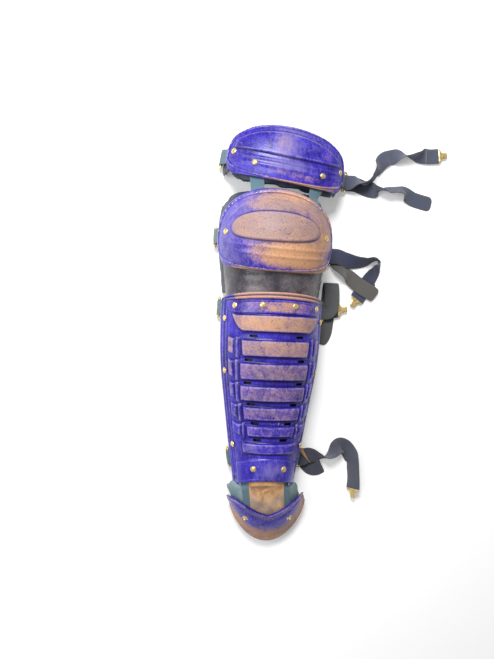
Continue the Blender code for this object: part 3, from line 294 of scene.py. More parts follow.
# a wall between an outer grid and an inner grid that has every third of its lines
def shellPiece(name, outer, inner, material, marks=None):
    rows, columns = outer.shape[:2]
    innerRows, innerColumns = inner.shape[:2]
    start = rows * columns
    outerRim = gridRim(rows, columns)
    innerRim = gridRim(innerRows, innerColumns) + start
    step = len(outerRim) // len(innerRim)
    outerRuns = np.stack([np.roll(outerRim, -k).reshape(-1, step)[:, 0] for k in range(step + 1)], 1)
    rim = np.concatenate([outerRuns, np.roll(innerRim, -1)[:, None], innerRim[:, None]], 1)
    faces = gridFaces(rows, columns).tolist() + rim.tolist()
    faces += (gridFaces(innerRows, innerColumns)[:, ::-1] + start).tolist()
    points = np.concatenate([outer.reshape(-1, 3), inner.reshape(-1, 3)])
    if marks is not None:
        channels = marks.shape[-1]
        inside = marks[::step, ::step] * 0.3
        marks = np.concatenate([marks.reshape(-1, channels), inside.reshape(-1, channels)])
    return makePiece(name, points, faces, material, marks)


# even lines with closer ones at both ends, so that the rim can be rounded; a count of 3k + 1
def edgedLines(count, low, high, edge):
    inside = np.linspace(low + 4.0 * edge, high - 4.0 * edge, count - 6)
    near = edge * np.array([0.0, 0.8, 2.0])
    return np.concatenate([low + near, inside, high - near[::-1]])


# how far the rim drops: a quarter round over the three outer lines of the grid
def rimDrop(rows, columns, drop):
    alongRows = np.zeros(rows)
    alongColumns = np.zeros(columns)
    for line in (alongRows, alongColumns):
        line[[0, 1, 2, -3, -2, -1]] = (1.0, 0.35, 0.06, 0.06, 0.35, 1.0)
    return drop * (1.0 - (1.0 - alongRows[:, None]) * (1.0 - alongColumns[None, :]))


# adds how far each point lies under its neighbourhood: grooves are positive and get painted shade, edges
# negative
def withCavity(marks, relief):
    soft = relief
    for _ in range(3):
        wide = np.pad(soft, 2, mode="edge")
        soft = (2.0 * soft + wide[:-4, 2:-2] + wide[4:, 2:-2] + wide[2:-2, :-4] + wide[2:-2, 4:]) / 6.0
    hollow = np.clip((soft - relief) / 0.0005, -1.0, 1.0)
    return np.concatenate([marks, hollow[..., None]], -1)


# takes the cutter out of the piece and keeps the piece's one material
def cutOpenings(piece, cutter):
    material = piece.data.materials[0]
    cut = piece.modifiers.new("openings", "BOOLEAN")
    cut.operation = "DIFFERENCE"
    cut.solver = "EXACT"
    cut.object = cutter
    bakeModifiers(piece)
    bpy.data.objects.remove(cutter, do_unlink=True)
    piece.data.materials.clear()
    piece.data.materials.append(material)
    piece.data.shade_smooth()
    piece.data.set_sharp_from_angle(angle=math.radians(40.0))


# the modified mesh takes the place of the piece's own
def bakeModifiers(piece):
    depsgraph = bpy.context.evaluated_depsgraph_get()
    depsgraph.update()
    made = bpy.data.meshes.new_from_object(piece.evaluated_get(depsgraph), depsgraph=depsgraph)
    piece.modifiers.clear()
    piece.data = made


# rides the root and stands for its frame nodes
def dress(piece, slotName, *nodes):
    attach(piece, "root")
    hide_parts(*nodes)


# Materials

def addNode(tree, kind, inputs=None, **settings):
    made = tree.nodes.new(kind)
    for key, value in settings.items():
        setattr(made, key, value)
    for key, value in (inputs or {}).items():
        if isinstance(value, bpy.types.NodeSocket):
            tree.links.new(value, made.inputs[key])
        else:
            made.inputs[key].default_value = value
    return made


def blendColours(tree, share, first, second):
    made = addNode(tree, "ShaderNodeMix", {0: share, 6: first, 7: second}, data_type="RGBA")
    return made.outputs[2]


# a value's range from low to high, eased onto first to second
def spread(tree, value, low, high, first=0.0, second=1.0):
    made = addNode(tree, "ShaderNodeMapRange", {"Value": value, "From Min": low, "From Max": high,
                                                "To Min": first, "To Max": second},
                   interpolation_type="SMOOTHSTEP")
    return made.outputs["Result"]


# first and second added by their shares
def weigh(tree, first, firstShare, second, secondShare=1.0):
    scaled = addNode(tree, "ShaderNodeMath", {0: first, 1: firstShare}, operation="MULTIPLY").outputs[0]
    made = addNode(tree, "ShaderNodeMath", {0: second, 1: secondShare, 2: scaled}, operation="MULTIPLY_ADD")
    return made.outputs[0]


def times(tree, first, second):
    return addNode(tree, "ShaderNodeMath", {0: first, 1: second}, operation="MULTIPLY").outputs[0]


def cloud(tree, vector, scale, detail=4.0, roughness=0.55, distortion=0.0):
    made = addNode(tree, "ShaderNodeTexNoise", {"Vector": vector, "Scale": scale, "Detail": detail,
                                                "Roughness": roughness, "Distortion": distortion})
    return made.outputs[0]


def stretched(tree, vector, scale, turn):
    made = addNode(tree, "ShaderNodeMapping", {"Vector": vector, "Scale": scale,
                                               "Rotation": (0.0, 0.0, math.radians(turn))})
    return made.outputs[0]


def newMaterial(name):
    material = bpy.data.materials.new(name)
    material.use_nodes = True
    tree = material.node_tree
    shader = tree.nodes["Principled BSDF"]
    place = addNode(tree, "ShaderNodeTexCoord")
    return material, tree, shader, place.outputs["Object"], place.outputs["UV"]


# the three channels of the marks, and their fourth
def readMarks(tree):
    marks = addNode(tree, "ShaderNodeAttribute", attribute_name="marks")
    channels = addNode(tree, "ShaderNodeSeparateColor", {"Color": marks.outputs["Color"]})
    return channels.outputs, marks.outputs["Alpha"]


# a screen colour given as shares of 255, as the shader's linear colour
def colour(red, green, blue):
    shares = np.array([red, green, blue]) / 255.0
    linear = np.where(shares < 0.04045, shares / 12.92, ((shares + 0.055) / 1.055) ** 2.4)
    return (*[float(part) for part in linear], 1.0)


def finishSurface(tree, shader, baseColour, roughness, height, strength, distance):
    tree.links.new(baseColour, shader.inputs["Base Color"])
    if isinstance(roughness, float):
        shader.inputs["Roughness"].default_value = roughness
    else:
        tree.links.new(roughness, shader.inputs["Roughness"])
    bump = addNode(tree, "ShaderNodeBump", {"Height": height, "Strength": strength, "Distance": distance})
    tree.links.new(bump.outputs[0], shader.inputs["Normal"])


# marks: dust, chips, haze with painted highlights, and warmth; a third mark under 0 flags the slot walls,
# painted near black as shade; cavity paints shade in the grooves and pales worn edges
def plasticMaterial():
    look = {"deep": colour(32, 20, 118), "bright": colour(60, 46, 184), "hazeAndHighlight": colour(118, 108, 176),
            "mauve": colour(152, 126, 118), "tan": colour(206, 154, 106), "dark": colour(62, 44, 52),
            "chip": colour(236, 210, 184), "hollow": colour(14, 10, 26),
            "paintedGrooveShade": colour(22, 12, 76), "edge": colour(160, 148, 202)}
    material, tree, shader, place, _ = newMaterial("blue_moulded_plastic")
    channels, warmMark = readMarks(tree)
    dust, chips, hazeAndHighlight = channels[0], channels[1], channels[2]
    broad = spread(tree, cloud(tree, place, 30.0, 5.0, 0.6), 0.36, 0.64)
    mottled = spread(tree, cloud(tree, place, 95.0, 6.0, 0.68, 0.5), 0.30, 0.70)
    grit = spread(tree, cloud(tree, place, 520.0, 4.0, 0.65), 0.38, 0.66)
    scrapes = spread(tree, cloud(tree, stretched(tree, place, (300.0, 70.0, 200.0), 24.0), 1.0, 4.0, 0.6),
                     0.40, 0.66)
    base = blendColours(tree, weigh(tree, broad, 0.6, mottled, 0.4), look["deep"], look["bright"])
    # the third mark mixes scuffed haze with painted highlights, all towards lavender
    scuffsAndHighlights = weigh(tree, hazeAndHighlight, 0.75, weigh(tree, mottled, 0.26, weigh(tree, scrapes, 0.2, grit, 0.14)))
    hazeAndHighlightShare = spread(tree, scuffsAndHighlights, 0.34, 1.15, 0.0, 0.85)
    base = blendColours(tree, hazeAndHighlightShare, base, look["hazeAndHighlight"])
    dirty = weigh(tree, dust, 0.78, weigh(tree, mottled, 0.24, weigh(tree, grit, 0.15, broad, 0.06)))
    dustShare = spread(tree, dirty, 0.40, 0.98, 0.0, 0.93)
    warmth = weigh(tree, warmMark, 0.8, weigh(tree, broad, 0.2, grit, 0.25))
    earth = blendColours(tree, spread(tree, warmth, 0.05, 0.85), look["mauve"], look["tan"])
    specks = spread(tree, cloud(tree, place, 380.0, 3.0, 0.6), 0.54, 0.70, 0.0, 0.6)
    earth = blendColours(tree, specks, earth, look["dark"])
    base = blendColours(tree, dustShare, base, earth)
    nicked = weigh(tree, chips, 0.62, cloud(tree, place, 300.0, 2.0, 0.6), 0.62)
    chipShare = spread(tree, nicked, 0.72, 0.86, 0.0, 0.9)
    base = blendColours(tree, chipShare, base, look["chip"])
    cavity = addNode(tree, "ShaderNodeAttribute", attribute_name="cavity").outputs["Fac"]
    # painted shade: the grooves are darkened towards deep navy by the cavity
    base = blendColours(tree, spread(tree, cavity, 0.04, 0.80, 0.0, 0.78), base, look["paintedGrooveShade"])
    worn = times(tree, spread(tree, cavity, -0.12, -1.0, 0.0, 0.48), weigh(tree, mottled, 0.8, grit, 0.3))
    base = blendColours(tree, worn, base, look["edge"])
    # painted shade: the slot walls, whose third mark is under 0, are painted near black
    base = blendColours(tree, spread(tree, hazeAndHighlight, -0.4, -1.0), base, look["hollow"])
    gloss = weigh(tree, dustShare, 0.26, weigh(tree, hazeAndHighlightShare, 0.12, grit, 0.06))
    height = weigh(tree, mottled, 0.35, weigh(tree, grit, 0.30, scrapes, 0.2))
    finishSurface(tree, shader, base, spread(tree, gloss, 0.0, 0.42, 0.27, 0.62), height, 0.30, 0.0006)
    shader.inputs["Specular IOR Level"].default_value = 0.45
    return material


def vinylMaterial(name, dark, light, dusty, roughness, dustAmount):
    material, tree, shader, place, _ = newMaterial(name)
    broad = cloud(tree, place, 26.0, 5.0, 0.6)
    fine = cloud(tree, place, 210.0, 4.0, 0.6)
    grain = addNode(tree, "ShaderNodeTexVoronoi", {"Vector": place, "Scale": 900.0}).outputs["Distance"]
    base = blendColours(tree, spread(tree, broad, 0.35, 0.7), dark, light)
    dirt = spread(tree, weigh(tree, broad, 0.6, fine, 0.6), 0.52, 0.85, 0.0, dustAmount)
    base = blendColours(tree, dirt, base, dusty)
    height = weigh(tree, fine, 0.6, grain, 0.5)
    finishSurface(tree, shader, base, spread(tree, fine, 0.2, 0.8, roughness - 0.08, roughness + 0.12),
                  height, 0.35, 0.0006)
    return material


# webbing or elastic: ribs along the band and picks across it, both on the band's own map
def wovenMaterial(name, body, other, thread, ribs, picks):
    look = {"grime": colour(96, 84, 74), "wear": 0.3}
    material, tree, shader, place, along = newMaterial(name)
    channels, _ = readMarks(tree)
    across = addNode(tree, "ShaderNodeTexWave", {"Vector": along, "Scale": ribs, "Distortion": 0.4},
                     bands_direction="X").outputs["Fac"]
    over = addNode(tree, "ShaderNodeTexWave", {"Vector": along, "Scale": picks, "Distortion": 0.6},
                   bands_direction="Y").outputs["Fac"]
    fuzz = cloud(tree, place, 900.0, 3.0, 0.7)
    broad = cloud(tree, place, 45.0, 4.0, 0.6)
    cells = times(tree, across, over)
    base = blendColours(tree, channels[0], body, other)
    lifted = weigh(tree, cells, 0.45, fuzz, 0.4)
    base = blendColours(tree, spread(tree, lifted, 0.2, 0.75, 0.0, 0.55), base, thread)
    grime = spread(tree, weigh(tree, broad, 0.8, channels[1], 0.6), 0.42, 0.95, 0.0, look["wear"])
    base = blendColours(tree, grime, base, look["grime"])
    shader.inputs["Sheen Weight"].default_value = 0.25
    finishSurface(tree, shader, base, 0.82, weigh(tree, cells, 0.8, fuzz, 0.35), 0.55, 0.0006)
    return material


def suedeMaterial():
    look = {"tan": colour(222, 172, 112), "brown": colour(150, 108, 72), "grey": colour(140, 136, 142)}
    material, tree, shader, place, _ = newMaterial("worn_tan_suede")
    broad = cloud(tree, place, 42.0, 4.0, 0.6, 0.6)
    patch = cloud(tree, stretched(tree, place, (30.0, 60.0, 40.0), 20.0), 1.0, 5.0, 0.65)
    nap = cloud(tree, place, 1100.0, 4.0, 0.7)
    channels, _ = readMarks(tree)
    base = blendColours(tree, spread(tree, broad, 0.38, 0.66), look["tan"], look["brown"])
    greyed = weigh(tree, channels[0], 0.8, patch, 0.7)
    base = blendColours(tree, spread(tree, greyed, 0.5, 1.0, 0.0, 0.85), base, look["grey"])
    base = blendColours(tree, spread(tree, nap, 0.45, 0.75, 0.0, 0.25), base, look["brown"])
    shader.inputs["Sheen Weight"].default_value = 0.35
    finishSurface(tree, shader, base, 0.9, weigh(tree, nap, 0.6, broad, 0.6), 0.5, 0.0008)
    return material


def brassMaterial():
    look = {"bright": colour(240, 216, 152), "dull": colour(168, 136, 86), "dark": colour(84, 66, 46)}
    material, tree, shader, place, _ = newMaterial("worn_brass")
    broad = cloud(tree, place, 260.0, 4.0, 0.6)
    fine = cloud(tree, place, 1400.0, 3.0, 0.6)
    base = blendColours(tree, spread(tree, broad, 0.42, 0.68), look["bright"], look["dull"])
    base = blendColours(tree, spread(tree, fine, 0.58, 0.76, 0.0, 0.5), base, look["dark"])
    shader.inputs["Metallic"].default_value = 0.65
    finishSurface(tree, shader, base, spread(tree, broad, 0.3, 0.75, 0.24, 0.5), fine, 0.25, 0.0003)
    return material


def threadMaterial(name, tone):
    material, tree, shader, place, _ = newMaterial(name)
    twist = cloud(tree, place, 2600.0, 2.0, 0.5)
    base = blendColours(tree, spread(tree, twist, 0.35, 0.7), tone, colour(110, 96, 84))
    finishSurface(tree, shader, base, 0.8, twist, 0.4, 0.0002)
    return material


finishes = {
    "plastic": plasticMaterial(),
    "padNavy": vinylMaterial("navy_pad_vinyl", colour(16, 22, 42), colour(38, 54, 78), colour(74, 70, 68),
                             0.5, 0.25),
    "padDark": vinylMaterial("dark_pad_cover", colour(16, 18, 30), colour(34, 44, 62), colour(80, 72, 60),
                             0.6, 0.3),
    "padSlate": vinylMaterial("slate_pad_cloth", colour(104, 130, 136), colour(138, 158, 160),
                              colour(136, 126, 110), 0.75, 0.35),
    "bridge": vinylMaterial("grey_band_vinyl", colour(52, 50, 60), colour(96, 92, 98), colour(134, 112, 98),
                            0.22, 0.32),
    "webbing": wovenMaterial("slate_webbing", colour(70, 100, 116), colour(86, 114, 126),
                             colour(116, 144, 152), 5.0, 7.0),
    "suede": suedeMaterial(),
    "brass": brassMaterial(),
    "stitch": threadMaterial("pale_thread", colour(214, 204, 188)),
    "tanThread": threadMaterial("tan_thread", colour(206, 158, 104)),
}
print("materials made")


# Fastenings that are set in the plates

# a place on a plate: point, the two directions along it and the normal, from the smooth base shape
def seatFrame(base, relief, angle, along, radius):
    here = base(angle, along)
    sideways = (base(angle + 1.0, along) - base(angle - 1.0, along)) / 2.0
    forward = (base(angle, along + 0.004) - base(angle, along - 0.004)) / 0.008
    degrees = radius / np.linalg.norm(sideways)
    units = radius / np.linalg.norm(forward)
    turns = np.linspace(0.0, 2.0 * math.pi, 13)
    seat = relief(angle + degrees * np.cos(turns), along + units * np.sin(turns)).max()
    sideways = sideways / np.linalg.norm(sideways)
    normal = np.cross(sideways, forward)
    normal /= np.linalg.norm(normal)
    forward = np.cross(normal, sideways)
    return here + normal * seat, sideways, forward, normal


# a turned head: rings of the given radii and heights, pinched between its star points where it has any
def turnedPiece(name, seat, rings, material, segments, starPoints):
    here, sideways, forward, normal = seat
    turns = np.arange(segments) * 2.0 * math.pi / segments
    swell = np.ones(segments)
    if starPoints:
        swell = 0.46 + 0.54 * np.abs(2.0 * ((turns * starPoints / (2.0 * math.pi)) % 1.0) - 1.0) ** 1.1
    radii, heights, roundness = np.array(rings).T
    reach = radii[:, None] * (roundness[:, None] + (1.0 - roundness[:, None]) * swell[None, :])
    spoke = np.cos(turns)[None, :, None] * sideways + np.sin(turns)[None, :, None] * forward
    wall = here + reach[..., None] * spoke + heights[:, None, None] * normal
    points = np.concatenate([wall.reshape(-1, 3), [here + heights[0] * normal, here + heights[-1] * normal]])
    count = len(rings) * segments
    around = np.arange(segments)
    top = np.stack([around, np.roll(around, -1), np.full(segments, count)], 1)
    bottom = np.stack([np.roll(around, -1) + count - segments, around + count - segments,
                       np.full(segments, count + 1)], 1)
    faces = gridFaces(len(rings), segments, True).tolist() + top.tolist() + bottom.tolist()
    return makePiece(name, points, faces, material, sharp=50.0)


# a domed head, or a star with five points, on a shank in its drilled hole
def setRivet(name, base, relief, angle, along, star=False):
    size = {"head": 0.0046, "rise": 0.0019, "shank": 0.0019, "depth": 0.003, "starSpread": 1.34}
    head = size["head"]
    rise = size["rise"]
    rings = [(0.25, 0.97), (0.5, 0.88), (0.72, 0.70), (0.86, 0.48), (0.95, 0.30), (1.0, 0.14), (0.99, 0.0)]
    roundness = 1.0
    if star:
        head = head * size["starSpread"]
        rings = [(0.30, 1.05), (0.55, 0.98), (0.80, 0.78), (0.95, 0.50), (1.0, 0.2), (0.98, 0.0)]
        roundness = 0.0
    table = [(share * head, height * rise, roundness) for share, height in rings]
    table += [(size["shank"], 0.0, 1.0), (size["shank"], -size["depth"], 1.0)]
    seat = seatFrame(base, relief, angle, along, head)
    piece = turnedPiece(name + "_head", seat, table, finishes["brass"], 40, 5 if star else 0)
    dress(piece, "brass", name)


# Shin plate

shinLook = {
    "halfAngle": 85.0, "panelRise": 0.0036, "beadRise": 0.0018, "grooveDip": 0.0006, "rimDrop": 0.0011,
    "slotLength": 0.013, "slotWidth": 0.004, "slotBelow": 0.009, "slotAbove": 0.006,
}
# panels from the top: lower and upper share, half angle at both, dust in the middle and at the side
shinPanels = (
    (0.790, 0.884, 33.0, 57.0, 0.92, 0.0), (0.663, 0.755, 39.0, 42.0, 0.80, 0.74),
    (0.542, 0.635, 43.0, 43.5, 0.66, 0.60), (0.430, 0.517, 44.0, 44.0, 0.58, 0.42),
    (0.330, 0.407, 39.5, 41.0, 0.52, 0.30), (0.243, 0.307, 34.5, 36.5, 0.36, 0.18),
    (0.152, 0.215, 43.0, 45.0, 0.26, 0.0))
shinSlots = ((0.772, 26.5), (0.648, 31.5), (0.528, 33.0), (0.417, 29.0), (0.317, 23.5), (0.230, 20.0))
shinRivets = (
    ("rivet_top_outer", 0.930, 52.0), ("rivet_top_inner", 0.932, 18.0), ("rivet_flange_upper", 0.835, 69.0),
    ("rivet_flange_lower", 0.560, 69.0), ("rivet_side", 0.165, 66.0), ("rivet_ankle", 0.072, 26.0))


# both ends of the plate round the trough: they droop with the square of the angle
def shinEdges(angle):
    turn = np.abs(angle) / 80.0
    corner = np.clip((np.abs(angle) - 70.0) / (shinLook["halfAngle"] - 70.0), 0.0, 1.0)
    lower = (0.014 - 0.060 * turn**2 + 0.015 * corner**2) * shinLength
    upper = (1.0 - 0.030 * turn**2 - 0.025 * corner**2) * shinLength
    return lower, upper


# share of the shin to metres along the leg, with lines that sweep up at the sides
def shinAlong(angle, share):
    angle, share = np.broadcast_arrays(np.asarray(angle, float), np.asarray(share, float))
    lower, upper = shinEdges(angle)
    nearTop = np.clip((share - 0.85) / 0.15, 0.0, 1.0)
    nearFoot = np.clip((0.15 - share) / 0.15, 0.0, 1.0)
    sweep = 0.007 * np.clip((np.abs(angle) - 44.0) / 20.0, 0.0, 1.0) ** 1.5
    place = share * shinLength + sweep * (1.0 - nearTop) * (1.0 - nearFoot)
    return place + (upper - shinLength) * nearTop + lower * nearFoot


# the masks of one panel: middle field and side field
def panelMasks(angle, share, lower, upper, lowAngle, highAngle):
    t = np.clip((share - lower) / (upper - lower), 0.0, 1.0)
    half = lowAngle + (highAngle - lowAngle) * t**0.42
    along = plateau(share, lower, upper, 0.0115)
    main = along * plateau(angle, -half, half, 4.0)
    side = along * plateau(np.abs(angle), highAngle + 7.5, 62.5, 4.0)
    return main, side


# raised panels with pillowed tops, upright bars beside them, ridges on the flange and beads at the ends
def shinRelief(angle, share):
    angle, share = np.broadcast_arrays(np.asarray(angle, float), np.asarray(share, float))
    wide = np.abs(angle)
    rise = shinLook["panelRise"]
    bead = shinLook["beadRise"]
    height = np.zeros(angle.shape)
    for row, (lower, upper, lowAngle, highAngle, _, _) in enumerate(shinPanels):
        main, side = panelMasks(angle, share, lower, upper, lowAngle, highAngle)
        crown = 1.0 + 0.16 * np.clip(1.0 - ((share - (lower + upper) / 2) / (upper - lower) * 2) ** 2, 0, 1)
        height = np.maximum(height, rise * main * crown)
        # the top and bottom panels have no bars and side fields
        if 0 < row < 6:
            height = np.maximum(height, rise * 0.8 * side)
            bar = plateau(wide, highAngle + 1.6, highAngle + 7.0, 2.0)
            bar = bar * plateau(share, lower - 0.012, upper + 0.012, 0.012)
            height = np.maximum(height, 1.5 * bead * bar)
    cuffLine = 0.128 - 0.00001 * angle**2
    cuff = ease(share, cuffLine + 0.008, cuffLine - 0.006) * ease(wide, 66.0, 58.0)
    height = np.maximum(height, 0.8 * bead * cuff)
    band = plateau(share, 0.890, 0.960, 0.007) * ease(wide, 66.0, 62.0)
    height = np.maximum(height, 0.55 * bead * band)
    lines = np.maximum(bell(share, 0.9555, 0.0034), 0.8 * bell(share, 0.8925, 0.003))
    height = height + 0.55 * bead * lines * ease(wide, 66.0, 60.0)
    outline = bell(wide, 66.0, 1.2) * plateau(share, 0.03, 0.955, 0.02) * 0.6
    flange = np.maximum(bell(wide, 73.5, 2.1), bell(wide, 81.5, 2.6))
    height = np.maximum(height, bead * np.maximum(flange, outline))
    lip = np.maximum(bell(share, 0.974, 0.0062), 1.15 * bell(share, 0.9925, 0.0062))
    foot = bell(share, 0.011, 0.012) + 0.5 * bell(share, 0.040, 0.008)
    height = np.maximum(height, bead * np.maximum(lip, foot))
    dip = np.zeros(angle.shape)
    for along, _ in shinSlots:
        dip = np.maximum(dip, plateau(share, along - 0.0165, along + 0.0165, 0.008))
    return height - shinLook["grooveDip"] * dip * ease(height, 0.0008, 0.0) * ease(wide, 60.0, 50.0)


# the plate's face without relief, at plateTop over the trough
def shinBase(angle, share):
    return legPoint(angle, shinAlong(angle, share), plateTop)


# wear and light: dust on panels, chips on edges, scuffed haze with painted highlights on the left bars, and
# warmth of the dust
def shinMarks(angle, share):
    wide = np.abs(angle)
    dust = np.zeros(angle.shape)
    edges = np.zeros(angle.shape)
    for row, (lower, upper, lowAngle, highAngle, middle, side) in enumerate(shinPanels):
        mainMask, sideMask = panelMasks(angle, share, lower, upper, lowAngle, highAngle)
        fade = 0.80 + 0.20 * bell(angle, 0.0, 40.0)
        dust = np.maximum(dust, middle * fade * mainMask**1.6)
        if 0 < row < 6:
            dust = np.maximum(dust, side * sideMask**1.6 * np.where(angle < 0.0, 1.0, 0.8))
            edges = np.maximum(edges, 0.50 * mainMask * (1.0 - mainMask) * 4.0 * ease(share, 0.42, 0.2))
    top = plateau(share, 0.962, 1.01, 0.008)
    dust = np.maximum(dust, 0.98 * top * ease(wide, 66.0, 45.0))
    bandDust = plateau(share, 0.892, 0.955, 0.01) * (0.35 + 0.4 * bell(angle, 4.0, 26.0))
    dust = np.maximum(dust, bandDust * ease(wide, 62.0, 52.0))
    chips = 0.55 * (bell(share, 0.9555, 0.004) + 0.7 * bell(share, 0.8925, 0.003)) * ease(wide, 64.0, 55.0)
    chips = np.maximum(chips, edges)
    grooves = plateau(share, 0.225, 0.345, 0.02) * ease(dust, 0.2, 0.0) * ease(wide, 52.0, 40.0)
    chips = np.maximum(chips, 0.62 * grooves * ease(angle, -40.0, 5.0))
    chips = np.maximum(chips, 0.55 * (bell(wide, 74.0, 1.0) + bell(share, 0.006, 0.006)))
    # haze rises with the dust and in scuffed patches; the narrow patches at -47 degrees paint highlights on
    # the left bars
    hazeAndHighlight = 0.18 + 0.45 * dust + patches(angle, share, (
        (-30.0, 0.185, 14.0, 0.03, 0.5), (0.0, 0.06, 20.0, 0.05, 0.75), (50.0, 0.14, 12.0, 0.08, 0.35),
        (-47.0, 0.62, 3.0, 0.16, 0.6), (-47.0, 0.36, 3.0, 0.10, 0.6), (20.0, 0.07, 16.0, 0.03, 0.3)))
    warm = 0.12 + 0.9 * top + 0.30 * ease(share, 0.6, 0.85)
    return np.stack([dust, np.clip(chips, 0, 1), np.clip(hazeAndHighlight, 0, 1), np.clip(warm, 0, 1)], -1)


# a slot with round ends, stood upright through the plate
def slotCutter(places):
    ends = np.radians(np.linspace(-90.0, 90.0, 9))
    rounding = shinLook["slotWidth"] / 2
    half = shinLook["slotLength"] / 2 - rounding
    right = np.stack([half + rounding * np.cos(ends), rounding * np.sin(ends)], 1)
    outline = np.concatenate([right, -right])
    count = len(outline)
    points = []
    faces = []
    for number, (here, sideways, forward, normal) in enumerate(places):
        flat = here + outline[:, :1] * sideways + outline[:, 1:] * forward
        points += [flat - shinLook["slotBelow"] * normal, flat + shinLook["slotAbove"] * normal]
        start = 2 * count * number
        ring = np.arange(count)
        walls = np.stack([ring, np.roll(ring, -1), np.roll(ring, -1) + count, ring + count], 1) + start
        faces += walls.tolist() + [(ring[::-1] + start).tolist(), (ring + count + start).tolist()]
    # the cut walls take a third mark of -2, which the plastic paints near black as shade
    hollow = np.tile((0.0, 0.0, -2.0, 0.0), (2 * count * len(places), 1))
    return makePiece("slotCutter", np.concatenate(points), faces, None, hollow)


def makeShinPlate():
    rows, columns = 346, 181
    shares = edgedLines(rows, 0.0, 1.0, 0.0012)[:, None]
    angles = edgedLines(columns, -shinLook["halfAngle"], shinLook["halfAngle"], 0.22)[None, :]
    relief = shinRelief(angles, shares) - rimDrop(rows, columns, shinLook["rimDrop"])
    along = shinAlong(angles, shares)
    outer = legPoint(angles, along, plateTop + relief)
    inner = legPoint(angles[:, ::3], along[::3, ::3], guard["seamRoom"])
    marks = shinMarks(*np.broadcast_arrays(angles, shares))
    plate = shellPiece("shin_plate_shell", outer, inner, finishes["plastic"], withCavity(marks, relief))
    places = [seatFrame(shinBase, shinRelief, side * angle, share, 0.004)
              for share, angle in shinSlots for side in (-1, 1)]
    cutOpenings(plate, slotCutter(places))
    dress(plate, "blue_plastic", "shin_plate")
    for name, share, angle in shinRivets:
        for side, sign in (("_left", -1), ("_right", 1)):
            setRivet(name + side, shinBase, shinRelief, sign * angle, share)


makeShinPlate()
print("shin plate made")


# Knee plate

kneeLook = {"halfAngle": 77.0, "widest": 0.28, "roll": -7.0, "dome": 0.011, "beadRise": 0.0016,
            "panelRise": 0.0028, "lowRound": 0.38, "highRound": 0.52, "rimDrop": 0.0011}


# a square turned into a rounded plate: u sweeps the angle, v the distance from the widest line
def roundedOutline(u, v, halfAngle, lowPart, highPart, lowRound, highRound):
    bend = np.where(v > 0.0, highRound, lowRound)
    angle = halfAngle * u * np.sqrt(1.0 - bend * v**2)
    along = v * np.sqrt(1.0 - bend * u**2) * np.where(v > 0.0, highPart, lowPart)
    return angle, along


# metres along the leg: from the widest line, less the slant across the board
def kneePlace(angle, fromWidest):
    across = guard["kneeHalfWidth"] * np.sin(np.radians(angle))
    return (kneeStart + kneeLook["widest"] * guard["kneeLength"] + fromWidest
            - math.tan(math.radians(guard["kneeTurn"])) * across)


# share of the way out to the plate's rim
def kneeRadius(angle, fromWidest):
    reach = np.where(fromWidest > 0.0, 1.0 - kneeLook["widest"], kneeLook["widest"]) * guard["kneeLength"]
    return np.sqrt((angle / kneeLook["halfAngle"]) ** 2 + (fromWidest / reach) ** 2), reach


# the dome falls with the square of the angle and of the way from the widest line
def kneeDome(angle, fromWidest):
    _, reach = kneeRadius(angle, fromWidest)
    across = np.clip(1.0 - (angle / (kneeLook["halfAngle"] + 4.0)) ** 2, 0.0, 1.0)
    return kneeLook["dome"] * across * np.clip(1.0 - (fromWidest / reach) ** 2, 0.0, 1.0) ** 0.6


# distance from the lens panel's middle as a share of its own outline
def lensShare(angle, fromWidest):
    up = fromWidest / guard["kneeLength"] - 0.20
    up = up / np.where(up > 0.0, 0.205, 0.150)
    return np.sqrt((np.abs(angle + 1.5) / 43.0) ** 2.3 + np.abs(up) ** 2.2)


# dome, rim bead, raised lens, an arc ridge over it and two soft ribs under it
def kneeRelief(angle, fromWidest):
    angle, fromWidest = np.broadcast_arrays(np.asarray(angle, float), np.asarray(fromWidest, float))
    radius, _ = kneeRadius(angle, fromWidest)
    bead = kneeLook["beadRise"]
    rim = bead * plateau(radius, 0.90, 0.99, 0.035) - 0.3 * bead * bell(radius, 0.875, 0.02)
    lens = kneeLook["panelRise"] * ease(lensShare(angle, fromWidest), 1.0, 0.84)
    lens = lens * (0.82 + 0.18 * ease(lensShare(angle, fromWidest), 0.84, 0.0))
    arcLine = 0.074 - 0.021 * ((angle + 2.0) / 36.0) ** 2
    arc = 0.55 * bead * bell(fromWidest, arcLine, 0.0026) * ease(np.abs(angle + 2.0), 56.0, 40.0)
    ribLine = fromWidest - 0.000003 * (angle - 10.0) ** 2
    ribs = 0.55 * bead * (bell(ribLine, -0.0035, 0.0026) + bell(ribLine, -0.0150, 0.0026))
    ribs = ribs * ease(np.abs(angle), 62.0, 42.0)
    return kneeDome(angle, fromWidest) + np.maximum(np.maximum(rim, lens), arc + ribs)


# the plate's face without relief, rolled to one side
def kneeBase(angle, fromWidest):
    turned = angle + kneeLook["roll"]
    return legPoint(turned, kneePlace(turned, fromWidest), plateTop)
